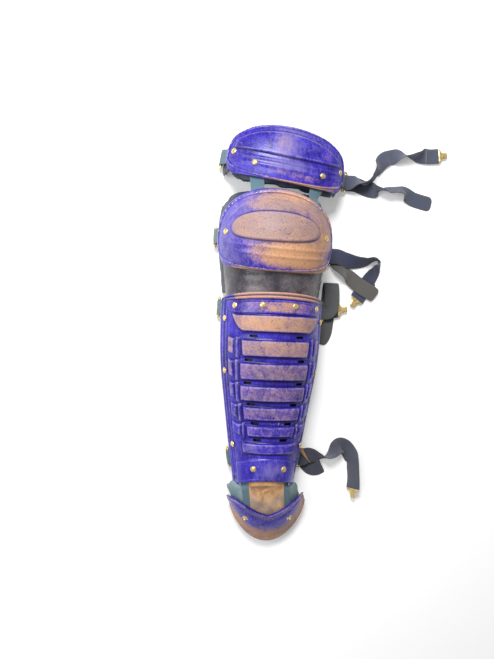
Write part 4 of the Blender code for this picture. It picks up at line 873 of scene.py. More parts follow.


# wear: patches of dust, more at the lower rim, and stitch-like chips along the rim; haze patches on the left
# side are painted highlights
def kneeMarks(angle, fromWidest):
    radius, _ = kneeRadius(angle, fromWidest)
    lens = ease(lensShare(angle, fromWidest), 1.02, 0.90)
    dust = 0.88 * lens * ease(angle, -74.0, -34.0) + patches(angle, fromWidest, (
        (10.0, -0.002, 38.0, 0.024, 0.98), (-14.0, 0.060, 22.0, 0.014, 0.45),
        (50.0, 0.030, 24.0, 0.034, 0.85), (14.0, 0.080, 32.0, 0.014, 0.95),
        (18.0, 0.060, 40.0, 0.016, 0.75), (26.0, -0.020, 40.0, 0.014, 0.7), (-40.0, 0.03, 14.0, 0.03, 0.22)))
    dust = np.maximum(dust, 0.95 * ease(radius, 0.91, 0.97) * ease(fromWidest, 0.004, -0.012))
    dust = np.maximum(dust, 0.8 * ease(radius, 0.93, 0.98) * ease(angle, 0.0, 30.0))
    dust = np.clip(dust, 0.0, 1.0) * (1.0 - 0.75 * bell(angle, -62.0, 20.0) * (1.0 - lens))
    grooveEdge = bell(lensShare(angle, fromWidest), 1.0, 0.03)
    warm = patches(angle, fromWidest, (
        (20.0, -0.010, 44.0, 0.022, 0.95), (12.0, 0.080, 32.0, 0.012, 0.6), (60.0, 0.015, 20.0, 0.03, 0.6)))
    warm = np.maximum(warm, 0.8 * ease(radius, 0.92, 0.97) * ease(fromWidest, 0.01, -0.01))
    stitched = ease(np.sin(np.radians(angle) * 84.0) * np.sign(fromWidest), 0.0, 0.5)
    chips = 0.9 * bell(radius, 0.925, 0.012) * stitched + 0.25 * grooveEdge
    # the haze patches on the left side are painted highlights
    hazeAndHighlight = 0.35 + patches(angle, fromWidest, ((-30.0, 0.055, 20.0, 0.02, 0.5), (-48.0, 0.02, 18.0, 0.03, 0.4),
                                              (-40.0, -0.02, 20.0, 0.012, 0.3)))
    return np.stack([np.clip(dust, 0, 1), chips, np.clip(hazeAndHighlight, 0, 1), np.clip(warm, 0, 1)], -1)


def makeKneePlate():
    rows, columns = 172, 181
    low = kneeLook["widest"] * guard["kneeLength"]
    high = guard["kneeLength"] - low
    u = edgedLines(columns, -1.0, 1.0, 0.0035)[None, :]
    v = edgedLines(rows, -1.0, 1.0, 0.006)[:, None]
    u = np.sign(u) * np.abs(u) ** 0.9
    angle, fromWidest = roundedOutline(u, v, kneeLook["halfAngle"], low, high, kneeLook["lowRound"],
                                       kneeLook["highRound"])
    relief = kneeRelief(angle, fromWidest) - rimDrop(rows, columns, kneeLook["rimDrop"])
    turned = angle + kneeLook["roll"]
    place = kneePlace(turned, fromWidest)
    outer = legPoint(turned, place, plateTop + relief)
    thin = np.maximum(kneeDome(angle, fromWidest) - 0.0012, 0.0)
    inner = legPoint(turned[::3, ::3], place[::3, ::3], guard["seamRoom"] + thin[::3, ::3])
    plate = shellPiece("knee_plate_shell", outer, inner, finishes["plastic"],
                       withCavity(kneeMarks(angle, fromWidest), relief))
    dress(plate, "blue_plastic", "knee_plate")
    line = 0.17 * guard["kneeLength"]
    setRivet("rivet_knee_left", kneeBase, kneeRelief, -52.0, line)
    setRivet("rivet_knee_right", kneeBase, kneeRelief, 52.0, line)


makeKneePlate()
print("knee plate made")


# Thigh plate

thighLook = {"halfAngle": 77.0, "widest": 0.36, "beadRise": 0.0019, "panelRise": 0.0030,
             "lowRound": 0.34, "highRound": 0.56, "rimDrop": 0.0011}


# share of the way out to the plate's rim
def thighRadius(angle, fromWidest):
    reach = np.where(fromWidest > 0.0, 1.0 - thighLook["widest"], thighLook["widest"]) * guard["thighLength"]
    return np.sqrt((angle / thighLook["halfAngle"]) ** 2 + (fromWidest / reach) ** 2)


# the half-moon panel: over a nearly straight lower line and under an arc
def moonMask(angle, fromWidest):
    lowLine = 0.0035 + 0.0000022 * (angle + 4.0) ** 2
    highLine = 0.0455 - 0.000007 * (angle + 4.0) ** 2
    return (ease(fromWidest, lowLine, lowLine + 0.0035) * ease(fromWidest, highLine, highLine - 0.004)
            * ease(np.abs(angle), 62.0, 56.0))


# rim bead with a groove inside it, the half-moon panel and two ribs under it
def thighRelief(angle, fromWidest):
    angle, fromWidest = np.broadcast_arrays(np.asarray(angle, float), np.asarray(fromWidest, float))
    radius = thighRadius(angle, fromWidest)
    bead = thighLook["beadRise"]
    rim = 0.7 * bead * plateau(radius, 0.91, 0.99, 0.03) - 0.4 * bead * bell(radius, 0.885, 0.016)
    moon = thighLook["panelRise"] * moonMask(angle, fromWidest)
    ribLine = fromWidest - 0.0000018 * angle**2
    ribs = 0.6 * bead * (bell(ribLine, -0.0045, 0.0022) + bell(ribLine, -0.0135, 0.0028))
    return np.maximum(np.maximum(rim, moon), ribs * ease(np.abs(angle), 66.0, 46.0))


# the plate's face without relief
def thighBase(angle, fromWidest):
    return thighPoint(angle, fromWidest + (thighLook["widest"] - 0.5) * guard["thighLength"], plateTop)


# wear: dust at the lower rim and in patches, haze in the middle, stitch-like chips along the rim
def thighMarks(angle, fromWidest):
    radius = thighRadius(angle, fromWidest)
    rim = ease(radius, 0.86, 0.95)
    dust = 1.05 * rim * ease(fromWidest, 0.005, -0.012) * bell(angle, 14.0, 38.0)
    dust = dust + patches(angle, fromWidest, (
        (10.0, -0.020, 34.0, 0.007, 0.55), (-8.0, 0.024, 11.0, 0.024, 0.50), (28.0, 0.020, 20.0, 0.016, 0.34),
        (56.0, -0.012, 12.0, 0.01, 0.3), (-40.0, 0.018, 14.0, 0.01, 0.2)))
    hazeAndHighlight = 0.16 + patches(angle, fromWidest, (
        (-6.0, 0.022, 13.0, 0.028, 1.0), (0.0, -0.008, 24.0, 0.008, 0.8), (-60.0, 0.0, 12.0, 0.03, 0.45),
        (-2.0, 0.052, 60.0, 0.006, 0.35), (30.0, 0.03, 20.0, 0.02, 0.25)))
    stitched = ease(np.sin(np.radians(angle) * 84.0), 0.0, 0.5)
    chips = 0.85 * bell(radius, 0.935, 0.012) * stitched
    chips = chips + 0.3 * bell(fromWidest, 0.0045, 0.002) * ease(np.abs(angle), 60.0, 40.0)
    warm = 0.75 * rim * ease(fromWidest, 0.01, -0.01) + 0.1
    return np.stack([np.clip(dust, 0, 1), np.clip(chips, 0, 1), np.clip(hazeAndHighlight, 0, 1), warm], -1)


def makeThighPlate():
    rows, columns = 136, 190
    low = thighLook["widest"] * guard["thighLength"]
    high = guard["thighLength"] - low
    u = edgedLines(columns, -1.0, 1.0, 0.0035)[None, :]
    v = edgedLines(rows, -1.0, 1.0, 0.008)[:, None]
    angle, fromWidest = roundedOutline(u, v, thighLook["halfAngle"], low, high, thighLook["lowRound"],
                                       thighLook["highRound"])
    relief = thighRelief(angle, fromWidest) - rimDrop(rows, columns, thighLook["rimDrop"])
    along = fromWidest + (thighLook["widest"] - 0.5) * guard["thighLength"]
    outer = thighPoint(angle, along, plateTop + relief)
    inner = thighPoint(angle[::3, ::3], along[::3, ::3], guard["seamRoom"])
    plate = shellPiece("thigh_plate_shell", outer, inner, finishes["plastic"],
                       withCavity(thighMarks(angle, fromWidest), relief))
    dress(plate, "blue_plastic", "thigh_plate")
    for name, angle, share in (("outer", 61.0, 0.06), ("inner", 33.0, -0.12)):
        for side, sign in (("_left", -1), ("_right", 1)):
            setRivet("rivet_thigh_" + name + side, thighBase, thighRelief, sign * angle,
                     share * guard["thighLength"])


makeThighPlate()
print("thigh plate made")


# Toe plate

toeLook = {"halfAngle": 84.0, "notch": 0.46, "horn": 0.25, "beadRise": 0.0014, "rimDrop": 0.0011}


# where the plate starts: a deep notch in the middle, horns beside it whose tips are rounded
def toeStart(angle):
    wide = np.abs(angle)
    start = toeLook["notch"] - (toeLook["notch"] - toeLook["horn"]) * np.minimum(wide / 52.0, 1.0) ** 1.2
    return start + 0.22 * np.clip((wide - 62.0) / 22.0, 0.0, 1.0) ** 2.0


# a bead round the notch with a groove beside it, and a bead along the rim
def toeRelief(angle, share):
    angle, share = np.broadcast_arrays(np.asarray(angle, float), np.asarray(share, float))
    run = share - toeStart(angle)
    bead = toeLook["beadRise"]
    inner = plateau(run, -0.06, 0.07, 0.035)
    outer = bell(share, 0.955, 0.03)
    side = bell(np.abs(angle), 79.0, 3.0) * ease(run, 0.0, 0.1)
    crease = bell(run, 0.115, 0.022) + 0.7 * bell(share, 0.86, 0.025)
    return bead * np.maximum(np.maximum(inner, outer), side) - 0.35 * bead * crease


# the plate's face without relief
def toeBase(angle, share):
    return toePoint(angle, share, plateTop)


# wear: dust towards the rim and on both sides, chips in the groove beside the notch
def toeMarks(angle, share):
    run = share - toeStart(angle)
    dust = 0.95 * ease(share, 0.62, 0.84) + 0.55 * ease(angle, 48.0, 74.0) + 0.35 * ease(angle, -52.0, -78.0)
    dust = dust + 0.45 * bell(run, 0.02, 0.03) + patches(angle, share, ((48.0, 0.62, 18.0, 0.14, 0.5),
                                                                       (-54.0, 0.70, 16.0, 0.14, 0.5)))
    chips = 0.62 * bell(run, 0.085, 0.02) + 0.4 * bell(share, 0.95, 0.03)
    hazeAndHighlight = 0.48 + 0.4 * bell(share, 0.72, 0.05) * bell(angle, 0.0, 30.0)
    warm = 0.38 + 0.6 * ease(run, 0.05, 0.0) + 0.35 * ease(angle, 50.0, 76.0)
    return np.stack([np.clip(dust, 0, 1), chips, np.clip(hazeAndHighlight, 0, 1), np.clip(warm, 0, 1)], -1)


def makeToePlate():
    rows, columns = 91, 151
    steps = edgedLines(rows, 0.0, 1.0, 0.009)[:, None]
    angles = edgedLines(columns, -toeLook["halfAngle"], toeLook["halfAngle"], 0.3)[None, :]
    start = toeStart(angles)
    shares = start + (1.0 - start) * steps
    angles = np.broadcast_to(angles, shares.shape)
    relief = toeRelief(angles, shares) - rimDrop(rows, columns, toeLook["rimDrop"])
    outer = toePoint(angles, shares, plateTop + relief)
    inner = toePoint(angles[::3, ::3], shares[::3, ::3], guard["seamRoom"])
    plate = shellPiece("toe_plate_shell", outer, inner, finishes["plastic"],
                       withCavity(toeMarks(angles, shares), relief))
    dress(plate, "blue_plastic", "toe_plate")
    setRivet("rivet_toe_left", toeBase, toeRelief, -35.0, 0.62, star=True)
    setRivet("rivet_toe_right", toeBase, toeRelief, 35.0, 0.62, star=True)


makeToePlate()
print("toe plate made")


# Pads: a closed shell is filled with cloth pressure, then held to a small swell

padLook = {"voxel": 0.004, "pressure": 4.0, "frames": 20, "inset": 0.0012, "swell": 0.0022,
           "floorRoom": 0.0001}


def meshPoints(piece):
    places = np.empty(len(piece.data.vertices) * 3)
    piece.data.vertices.foreach_get("co", places)
    return places.reshape(-1, 3)


# each point follows the cloth, but no farther than the swell
def inflate(piece):
    scene = bpy.context.scene
    before = meshPoints(piece)
    cloth = piece.modifiers.new("filling", "CLOTH")
    cloth.settings.use_pressure = True
    cloth.settings.uniform_pressure_force = padLook["pressure"]
    cloth.settings.effector_weights.gravity = 0.0
    cloth.point_cache.frame_start = 1
    cloth.point_cache.frame_end = padLook["frames"]
    for step in range(1, padLook["frames"] + 1):
        scene.frame_set(step)
    bakeModifiers(piece)
    scene.frame_set(1)
    move = meshPoints(piece) - before
    size = np.linalg.norm(move, axis=1, keepdims=True)
    move = move * np.minimum(1.0, padLook["swell"] / np.maximum(size, 1e-9))
    return before + move


# two skins of the trough between the edges, closed by voxels, filled and made finer
def makePad(name, node, surface, edges, counts, material, slotName):
    skins = []
    for lift in (-padLook["inset"], padLook["inset"] - guard["padThickness"]):
        angles = np.linspace(-guard["floorTurn"], guard["floorTurn"], counts[0])
        lower, upper = edges(angles)
        along = lower + (upper - lower) * np.linspace(0.0, 1.0, counts[1])[:, None]
        skin = surface(angles[None, :], along, lift)
        skin[..., 2] = np.maximum(skin[..., 2], padLook["inset"])
        skins.append(skin)
    piece = shellPiece(name, skins[0], skins[1], None)
    voxels = piece.modifiers.new("voxels", "REMESH")
    voxels.mode = "VOXEL"
    voxels.voxel_size = padLook["voxel"]
    bakeModifiers(piece)
    places = inflate(piece)
    places[:, 2] = np.maximum(places[:, 2], padLook["floorRoom"])
    piece.data.vertices.foreach_set("co", places.astype(np.float32).ravel())
    finer = piece.modifiers.new("finer", "SUBSURF")
    finer.levels = 1
    finer.render_levels = 1
    bakeModifiers(piece)
    piece.data.materials.clear()
    piece.data.materials.append(material)
    piece.data.shade_smooth()
    dress(piece, slotName, node)


# under the plate's lower end and short of its top
def shinPadEdges(angles):
    lower, _ = shinEdges(np.clip(angles, -shinLook["halfAngle"], shinLook["halfAngle"]))
    return lower + 0.0005, np.full(angles.shape, shinLength - 0.0055)


# from the shin's top to the knee's, whose corners droop, the right one more
def kneePadEdges(angles):
    corner = np.clip((np.abs(angles) - 35.0) / 85.0, 0.0, 1.0)
    across = guard["kneeHalfWidth"] * np.sin(np.radians(np.clip(angles, -90, 90)))
    droop = np.where(angles < 0.0, 0.016, 0.055)
    upper = legLength - math.tan(math.radians(guard["kneeTurn"])) * across - droop * corner**2
    return np.full(angles.shape, shinLength - 0.0015), upper


# half ovals over and under the plate's widest line, no narrower than the wings
def thighPadEdges(angles):
    spreadOut = np.clip(np.abs(angles) / (thighLook["halfAngle"] + 3.0), 0.0, 1.0)
    wing = 0.10 * guard["thighLength"]
    middle = (thighLook["widest"] - 0.5) * guard["thighLength"]
    high = (1.0 - thighLook["widest"]) * guard["thighLength"] + 0.001
    low = thighLook["widest"] * guard["thighLength"] + 0.0075
    upper = middle + np.maximum(high * np.sqrt(1.0 - spreadOut**2), wing)
    lower = middle - np.maximum(low * (1.0 - spreadOut**6) ** 0.5, 2.4 * wing)
    return lower, upper


# the hood with an ear pushed up towards the ankle at each side
def toePadPoint(angle, share, lift):
    point = toePoint(angle, share, lift)
    angle, share, _ = np.broadcast_arrays(angle, share, lift)
    point[..., 1] += 0.014 * bell(np.abs(angle), 66.0, 24.0) * np.clip(1.0 - share / 0.5, 0.0, 1.0) ** 1.5
    return point


# from the ankle past the hood's rim
def toePadEdges(angles):
    return np.full(angles.shape, 0.02), np.full(angles.shape, 1.17)


makePad("shin_pad_filled", "shin_pad", legPoint, shinPadEdges, (121, 91), finishes["padDark"], "navy_padding")
makePad("knee_pad_filled", "knee_pad", legPoint, kneePadEdges, (121, 61), finishes["padNavy"], "navy_padding")
makePad("thigh_pad_filled", "thigh_pad", thighPoint, thighPadEdges, (121, 40), finishes["padNavy"],
        "navy_padding")
makePad("toe_pad_filled", "toe_pad", toePadPoint, toePadEdges, (121, 61), finishes["padSlate"],
        "slate_webbing")
print("pads filled")


# Bridge between knee and shin

# a band from under the shin to under the knee, bulged in its middle and lightly folded across
def makeBridge():
    look = {"tuck": 0.014, "bulge": 0.0009, "lift": 0.0023, "fold": 0.0002}
    rows, columns = 61, 181
    tuck = look["tuck"]
    angles = np.linspace(-0.7 * guard["floorTurn"], 0.7 * guard["floorTurn"], columns)[None, :]
    low = shinLength - tuck + 0.4 * tuck * np.clip(np.abs(angles) / 24.0 - 2.0, 0.0, 1.0)
    t = np.linspace(0.0, 1.0, rows)[:, None]
    along = low + (kneeStart + tuck - low) * t
    fold = look["fold"] * np.sin(along * 420.0 + 1.4 * np.sin(np.radians(angles) * 2.0))
    lift = look["lift"] + look["bulge"] * np.sin(math.pi * t) * 0.4 + fold * plateau(t, 0.2, 0.8, 0.15)
    outer = legPoint(angles, along, lift)
    inner = legPoint(angles[:, ::3], along[::3, ::3], 1.8 * fitGap)
    band = shellPiece("knee_bridge_band", outer, inner, finishes["bridge"])
    dress(band, "grey_band", "knee_bridge")


makeBridge()


# Cloth strips that lie over the pads

# a sheet through rows of points, read smoothly along and held at its thickness
def laidSheet(name, node, rows, columns, material, slotName, thickness, flat, wrinkle=None,
              lines=46):
    skins = []
    for lift in (fitGap + thickness, fitGap):
        knots = np.array([surface(np.linspace(low, high, columns), np.full(columns, along), lift)
                          for surface, low, high, along in rows])
        places = np.arange(len(rows)) * 1.0
        at = np.linspace(0.0, places[-1], lines)
        grid = np.stack([np.stack([smoothRead(at, places, knots[:, c, k]) for c in range(columns)], 1)
                         for k in range(3)], -1)
        if wrinkle is not None:
            grid[..., 2] += wrinkle(np.linspace(-1.0, 1.0, columns)[None, :], at[:, None] / places[-1])
        skins.append(grid)
    u = np.broadcast_to(np.linspace(0.0, 1.0, columns)[None, :], (lines, columns))
    v = np.broadcast_to(np.linspace(0.0, flat[1] / flat[0], lines)[:, None], (lines, columns))
    uv = np.concatenate([np.stack([u, v], -1).reshape(-1, 2)] * 2)
    grey = 0.5 * bell(v, 0.8 * v.max(), 0.35 * v.max())
    marks = np.stack([grey, 0.3 * u, 0.0 * u, 0.0 * u], -1).reshape(-1, 4)
    marks = np.concatenate([marks, marks])
    rim = gridRim(lines, columns)
    count = lines * columns
    side = np.stack([rim, np.roll(rim, -1), np.roll(rim, -1) + count, rim + count], 1)
    faces = gridFaces(lines, columns).tolist() + (gridFaces(lines, columns)[:, ::-1] + count).tolist()
    points = np.concatenate([skins[0].reshape(-1, 3), skins[1].reshape(-1, 3)])
    piece = makePiece(name, points, faces + side.tolist(), material, marks, uv)
    dress(piece, slotName, node)


instepLook = {"halfWidth": 0.0265, "strip": 0.0095, "thickness": 0.0018, "webbing": 0.0013}
toeShares = (0.0, 0.12, 0.26, 0.40, 0.56)


# rows from under the shin over the toe: the sides' metres across turned into degrees
def instepRows(sides, legShares):
    rows = []
    for share in legShares:
        half = legPoint(90.0, share * shinLength, 0.0)[0] - axisPlace[0]
        low, high = np.degrees(np.arcsin(np.array(sides) / half))
        rows.append((legPoint, low, high, share * shinLength))
    low, high = np.degrees(np.arcsin(np.array(sides) / guard["toeHalfWidth"]))
    rows += [(toePoint, low, high, share) for share in toeShares]
    return rows


# soft folds across the tongue where it shows, none where it is tucked in
def tongueWrinkle(u, v):
    shown = plateau(v, 0.36, 0.92, 0.12) * ease(np.abs(u), 1.02, 0.75)
    folds = (np.sin(14.0 * v + 2.2 * u) + 0.7 * np.sin(26.0 * v - 3.4 * u + 1.0)
             + 0.5 * np.sin(9.0 * u + 8.0 * v))
    return 0.0011 * shown * (folds + 1.2)


def makeInstep():
    half = instepLook["halfWidth"]
    near = half + fitGap
    far = near + instepLook["strip"]
    laidSheet("instep_tongue", "instep_panel", instepRows((-half, half), (0.11, 0.06, 0.02, -0.012)), 31,
              finishes["suede"], "tan_suede", instepLook["thickness"], (2 * half, 0.098), tongueWrinkle,
              60)
    for name, sides in (("left", (-far, -near)), ("right", (near, far))):
        laidSheet("instep_strip_" + name, "instep_strap_" + name,
                  instepRows(sides, (0.11, 0.06, 0.02, -0.022)), 9, finishes["webbing"], "slate_webbing",
                  instepLook["webbing"], (0.012, 0.100), None)


makeInstep()


# webbing from under the thigh plate to under the knee plate, one strip a side
def makeLinks():
    look = {"halfAngle": 8.0, "thickness": 0.0013}
    lowEdge = -0.5 * guard["thighLength"]
    for name, kneeAngle, thighAngle in (("left", -29.0, -31.0), ("right", 42.0, 33.0)):
        across = guard["kneeHalfWidth"] * math.sin(math.radians(kneeAngle))
        kneeTop = legLength - math.tan(math.radians(guard["kneeTurn"])) * across
        half = look["halfAngle"]
        rows = [(thighPoint, thighAngle - half, thighAngle + half, lowEdge + step)
                for step in (0.02, 0.01, 0.0)]
        rows += [(legPoint, kneeAngle - half, kneeAngle + half, kneeTop - step)
                 for step in (0.004, 0.012, 0.02)]
        laidSheet("link_web_" + name, "link_tab_" + name, rows, 13, finishes["webbing"], "slate_webbing",
                  look["thickness"], (0.024, 0.050), None, 30)


makeLinks()
print("bridge, tongue and links made")


# Closures: tabs, rings, straps and hooks

closureLook = {
    "ringWire": 0.0015, "ringRoom": 0.029, "ringPitch": 0.0105, "ringCorner": 0.0024, "dringDepth": 0.012,
    "tabWidth": 0.024, "tabReach": 0.0115, "tabHeight": 0.0125, "leftTabReach": 0.0078,
    "leftTabHeight": 0.0138, "tabThickness": 0.0013, "strapWidth": 0.0254, "strapThickness": 0.0014,
    "hookLength": 0.0145, "hookTongue": 0.0095, "hookThickness": 0.0013, "hookCurl": 0.0016,
    "tipCut": 0.0105, "tipShare": 0.95, "keeperWall": 0.0010, "bandFloorRoom": 0.00005,
    "strapFloorRoom": 0.0001,
}
ringWire = closureLook["ringWire"]
strapWidth = closureLook["strapWidth"]
strapThickness = closureLook["strapThickness"]
ringOuterHeight = ringWire + 2.6 * strapThickness + fitGap


# the way run from the first point to each point
def runsTo(points):
    return np.concatenate([[0.0], np.cumsum(np.linalg.norm(np.diff(points, axis=0), axis=1))])


# values of a band's points read at other runs
def readAlong(at, runs, values):
    return np.stack([np.interp(at, runs, values[:, k]) for k in range(3)], 1)


# unit directions at each centre of a band: along it, across it and up from its face
def bandFrame(centres, widths):
    tangent = np.gradient(centres, axis=0)
    tangent /= np.linalg.norm(tangent, axis=1, keepdims=True)
    across = widths - (widths * tangent).sum(1, keepdims=True) * tangent
    across /= np.linalg.norm(across, axis=1, keepdims=True)
    return tangent, across, np.cross(tangent, across)


# a flat band with round edges carried along centres; wides is its width at each centre
def bandPiece(name, centres, widths, wides, thick, material, tint=None, sharp=55.0):
    centres = np.asarray(centres, float)
    _, across, rise = bandFrame(centres, widths)
    upperA = np.array([-0.5, -0.492, -0.47, -0.3, -0.1, 0.1, 0.3, 0.47, 0.492])
    upperB = np.array([0.0, 0.3, 0.5, 0.5, 0.5, 0.5, 0.5, 0.5, 0.3])
    a = np.concatenate([upperA, -upperA])
    b = np.concatenate([upperB, -upperB])
    wides = np.asarray(wides, float)
    points = (centres[:, None] + across[:, None] * wides[:, None, None] * a[None, :, None]
              + rise[:, None] * thick * b[None, :, None])
    points[..., 2] = np.maximum(points[..., 2], closureLook["bandFloorRoom"])
    run = runsTo(centres)
    uv = np.stack(np.broadcast_arrays(a[None, :] + 0.5, run[:, None] / strapWidth), -1).reshape(-1, 2)
    marks = None
    if tint is not None:
        marks = np.zeros((len(centres), len(a), 4))
        marks[..., 0] = tint[:, None]
        marks[..., 1] = (0.35 + 0.5 * bell(np.abs(a), 0.5, 0.08))[None, :]
        marks = marks.reshape(-1, 4)
    ring = np.arange(len(a))
    faces = gridFaces(len(centres), len(a), True).tolist()
    faces += [ring[::-1].tolist(), (ring + len(a) * (len(centres) - 1)).tolist()]
    return makePiece(name, points, faces, material, marks, uv, sharp)


# a loop of webbing held round a band at one run, or a seam that crosses it
def makeKeeper(name, strapLine, run, length, slack, material):
    centres, widths, runs = strapLine
    at = np.linspace(run - length / 2, run + length / 2, 7)
    middle = readAlong(at, runs, centres)
    _, wide, rise = bandFrame(middle, readAlong(at, runs, widths))
    turns = np.arange(28) * 2.0 * math.pi / 28
    power = 0.25
    a = np.sign(np.cos(turns)) * np.abs(np.cos(turns)) ** power
    b = np.sign(np.sin(turns)) * np.abs(np.sin(turns)) ** power
    skins = []
    for wall in (closureLook["keeperWall"], 0.0):
        halfWide = strapWidth / 2 + slack + wall
        halfThick = strapThickness / 2 + slack + wall
        skin = (middle[:, None] + wide[:, None] * halfWide * a[None, :, None]
                + rise[:, None] * halfThick * b[None, :, None])
        skin[..., 2] = np.maximum(skin[..., 2], closureLook["bandFloorRoom"])
        skins.append(skin)
    grid = np.concatenate([skins[0], skins[1][::-1], skins[0][:1]])
    faces = gridFaces(len(grid), len(turns), True) % ((len(grid) - 1) * len(turns))
    piece = makePiece(name, grid[:-1], faces.tolist(), material, sharp=50.0)
    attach(piece, "root")


# a round wire carried along a closed flat path
def wirePiece(name, path, flatNormal, radius):
    sides = 14
    path = np.asarray(path)
    ahead = np.roll(path, -1, axis=0) - np.roll(path, 1, axis=0)
    ahead /= np.linalg.norm(ahead, axis=1, keepdims=True)
    outward = np.cross(ahead, flatNormal)
    outward /= np.linalg.norm(outward, axis=1, keepdims=True)
    turns = (np.arange(sides) + 0.5) * 2.0 * math.pi / sides
    points = path[:, None] + radius * (np.cos(turns)[None, :, None] * outward[:, None]
                                       + np.sin(turns)[None, :, None] * flatNormal)
    closed = np.concatenate([points, points[:1]])
    faces = gridFaces(len(closed), sides, True) % (len(path) * sides)
    return makePiece(name, points, faces.tolist(), finishes["brass"], sharp=60.0)


# a closure's place on the guard's side: its foot, the way out and the way along, all level
def closureFrame(surface, side, along):
    foot = surface(side * 90.0, along, 0.0)
    near = surface(side * 90.0, along + 0.004, 0.0) - surface(side * 90.0, along - 0.004, 0.0)
    near[2] = 0.0
    forward = near / np.linalg.norm(near)
    return foot, np.array([side * forward[1], -side * forward[0], 0.0]), forward


# a point of that place at a given height
def atFrame(place, out, along, height):
    spot = place[0] + out * place[1] + along * place[2]
    return np.array([spot[0], spot[1], height])


# points at even steps along a smooth curve through the given points
def resample(points, step):
    points = np.asarray(points, float)
    chord = runsTo(points[:, :3])
    at = np.linspace(0.0, chord[-1], max(8, int(chord[-1] / step)))
    return np.stack([smoothRead(at, chord, points[:, c]) for c in range(points.shape[1])], 1)


# webbing from under the plate's edge, down and round the ring's bar
def makeTab(name, surface, side, along, edgeAngle, bar):
    place = closureFrame(surface, side, along)
    thickness = closureLook["tabThickness"]
    roundBar = ringWire + fitGap + thickness / 2
    lift = 2 * fitGap + thickness / 2
    centres = [surface(side * angle, along, lift) for angle in (edgeAngle - 13.0, edgeAngle, 90.0)]
    rise = place[0][2] - bar[1]
    inward = lift - bar[0]
    start = math.degrees(math.atan2(rise, inward) - math.acos(roundBar / math.hypot(rise, inward)))
    for turn in np.radians(np.linspace(start, -165.0, 12)):
        centres.append(atFrame(place, bar[0] + roundBar * math.cos(turn), 0.0,
                               bar[1] + roundBar * math.sin(turn)))
    centres = resample(centres, 0.0009)
    count = len(centres)
    piece = bandPiece(name + "_web", centres, np.tile(place[2] * -side, (count, 1)),
                      np.full(count, closureLook["tabWidth"]), thickness, finishes["webbing"],
                      np.zeros(count))
    dress(piece, "slate_webbing", name)
    return place


# a wire whose outline slopes from the bar down to the low height over its pitch
def slantedWire(name, node, place, bar, pitch, lowHeight, outline):
    drop = bar[1] - lowHeight
    run = math.sqrt(pitch**2 - drop**2)
    path = [atFrame(place, bar[0] + u * run / pitch, v, bar[1] - u * drop / pitch) for u, v in outline]
    slant = atFrame(place, run, 0.0, -drop) - atFrame(place, 0.0, 0.0, 0.0)
    flatNormal = np.cross(slant, place[2])
    dress(wirePiece(name, path, flatNormal / np.linalg.norm(flatNormal), ringWire), "brass", node)


# a rectangle of wire with rounded corners
def makeLoopRing(node, place, bar):
    half = closureLook["ringRoom"] / 2 + ringWire
    corner = closureLook["ringCorner"]
    turns = np.radians(np.arange(0.0, 91.0, 15.0))
    outline = []
    for far, side, start in ((1, 1, 0), (0, 1, 90), (0, 0, 180), (1, 0, 270)):
        bend = turns + math.radians(start)
        u = (closureLook["ringPitch"] - corner if far else corner) + corner * np.cos(bend)
        v = (half - corner if side else corner - half) + corner * np.sin(bend)
        outline += list(zip(u, v))
    slantedWire(node + "_wire", node, place, bar, closureLook["ringPitch"], ringOuterHeight, outline)


# a straight bar closed by a bow
def makeDRing(node, place, bar):
    half = closureLook["ringRoom"] / 2 + ringWire
    outline = [(0.0, v * half) for v in np.linspace(-0.92, 0.92, 9)]
    bend = np.radians(np.linspace(74.0, -74.0, 25))
    outline += list(zip(closureLook["dringDepth"] * np.cos(bend) ** 0.8, half * np.sin(bend) * 1.04))
    slantedWire(node + "_wire", node, place, bar, closureLook["dringDepth"], 1.3 * ringWire, outline)


# routes: shares of the strap's reach out and along, lift in thicknesses, heading and tilt in degrees
thighHookRoute = (
    (0.09, 0.010, 4.5, 90, -45), (0.165, 0.005, 3.5, 96, -80), (0.245, 0.045, 2.5, 130, -112),
    (0.30, 0.13, 2.0, 150, -122), (0.34, 0.21, 2.0, 150, -160), (0.405, 0.275, 3.2, 128, -180),
    (0.475, 0.30, 1.6, 112, -180), (0.53, 0.315, 0.6, 100, -215), (0.59, 0.316, 0.4, 92, -245),
    (0.655, 0.315, 0.4, 90, -270), (0.715, 0.316, 0.6, 92, -295), (0.775, 0.327, 1.4, 96, -330),
    (0.865, 0.336, 2.6, 96, -358), (0.955, 0.348, 3.2, 96, -360))
thighTailRoute = (
    (0.10, 0.0, 0.5, 84, 0), (0.185, -0.025, 0.1, 82, 0), (0.26, -0.045, 0.1, 84, 12),
    (0.325, -0.055, 0.1, 90, 75), (0.41, -0.045, 0.1, 92, 120), (0.51, -0.032, 0.1, 92, 125),
    (0.585, -0.034, 0.1, 80, 135), (0.65, -0.07, 0.1, 50, 170), (0.715, -0.10, 0.1, 66, 180),
    (0.79, -0.118, 0.1, 76, 180), (0.91, -0.14, 0.1, 78, 180))
kneeHookRoute = (
    (0.13, 0.0, 4.8, 88, -5), (0.29, -0.055, 3.0, 82, 10), (0.49, -0.095, 1.0, 86, 40),
    (0.68, -0.085, 0.6, 92, 58), (0.86, -0.035, 0.5, 85, 80), (0.935, -0.05, 0.5, 30, 105),
    (0.91, -0.22, 0.4, 5, 150), (0.81, -0.41, 0.3, -10, 175), (0.735, -0.58, 0.3, -18, 180),
    (0.64, -0.71, 1.2, -28, 180), (0.575, -0.80, 2.4, -30, 180))
kneeTailRoute = (
    (0.08, -0.03, 0.7, 80, 0), (0.16, -0.16, 0.1, 60, -20), (0.26, -0.28, 0.1, 70, -40),
    (0.38, -0.355, 0.3, 70, -15), (0.54, -0.485, 2.4, 52, 0), (0.71, -0.595, 3.4, 56, 0),
    (0.88, -0.68, 3.0, 56, 0), (0.95, -0.73, 2.4, 56, 0))
calfHookRoute = ((0.25, 0.04, 2.2, 90, 0), (0.50, 0.09, 2.3, 89, 0), (0.78, 0.13, 3.0, 88, 0))
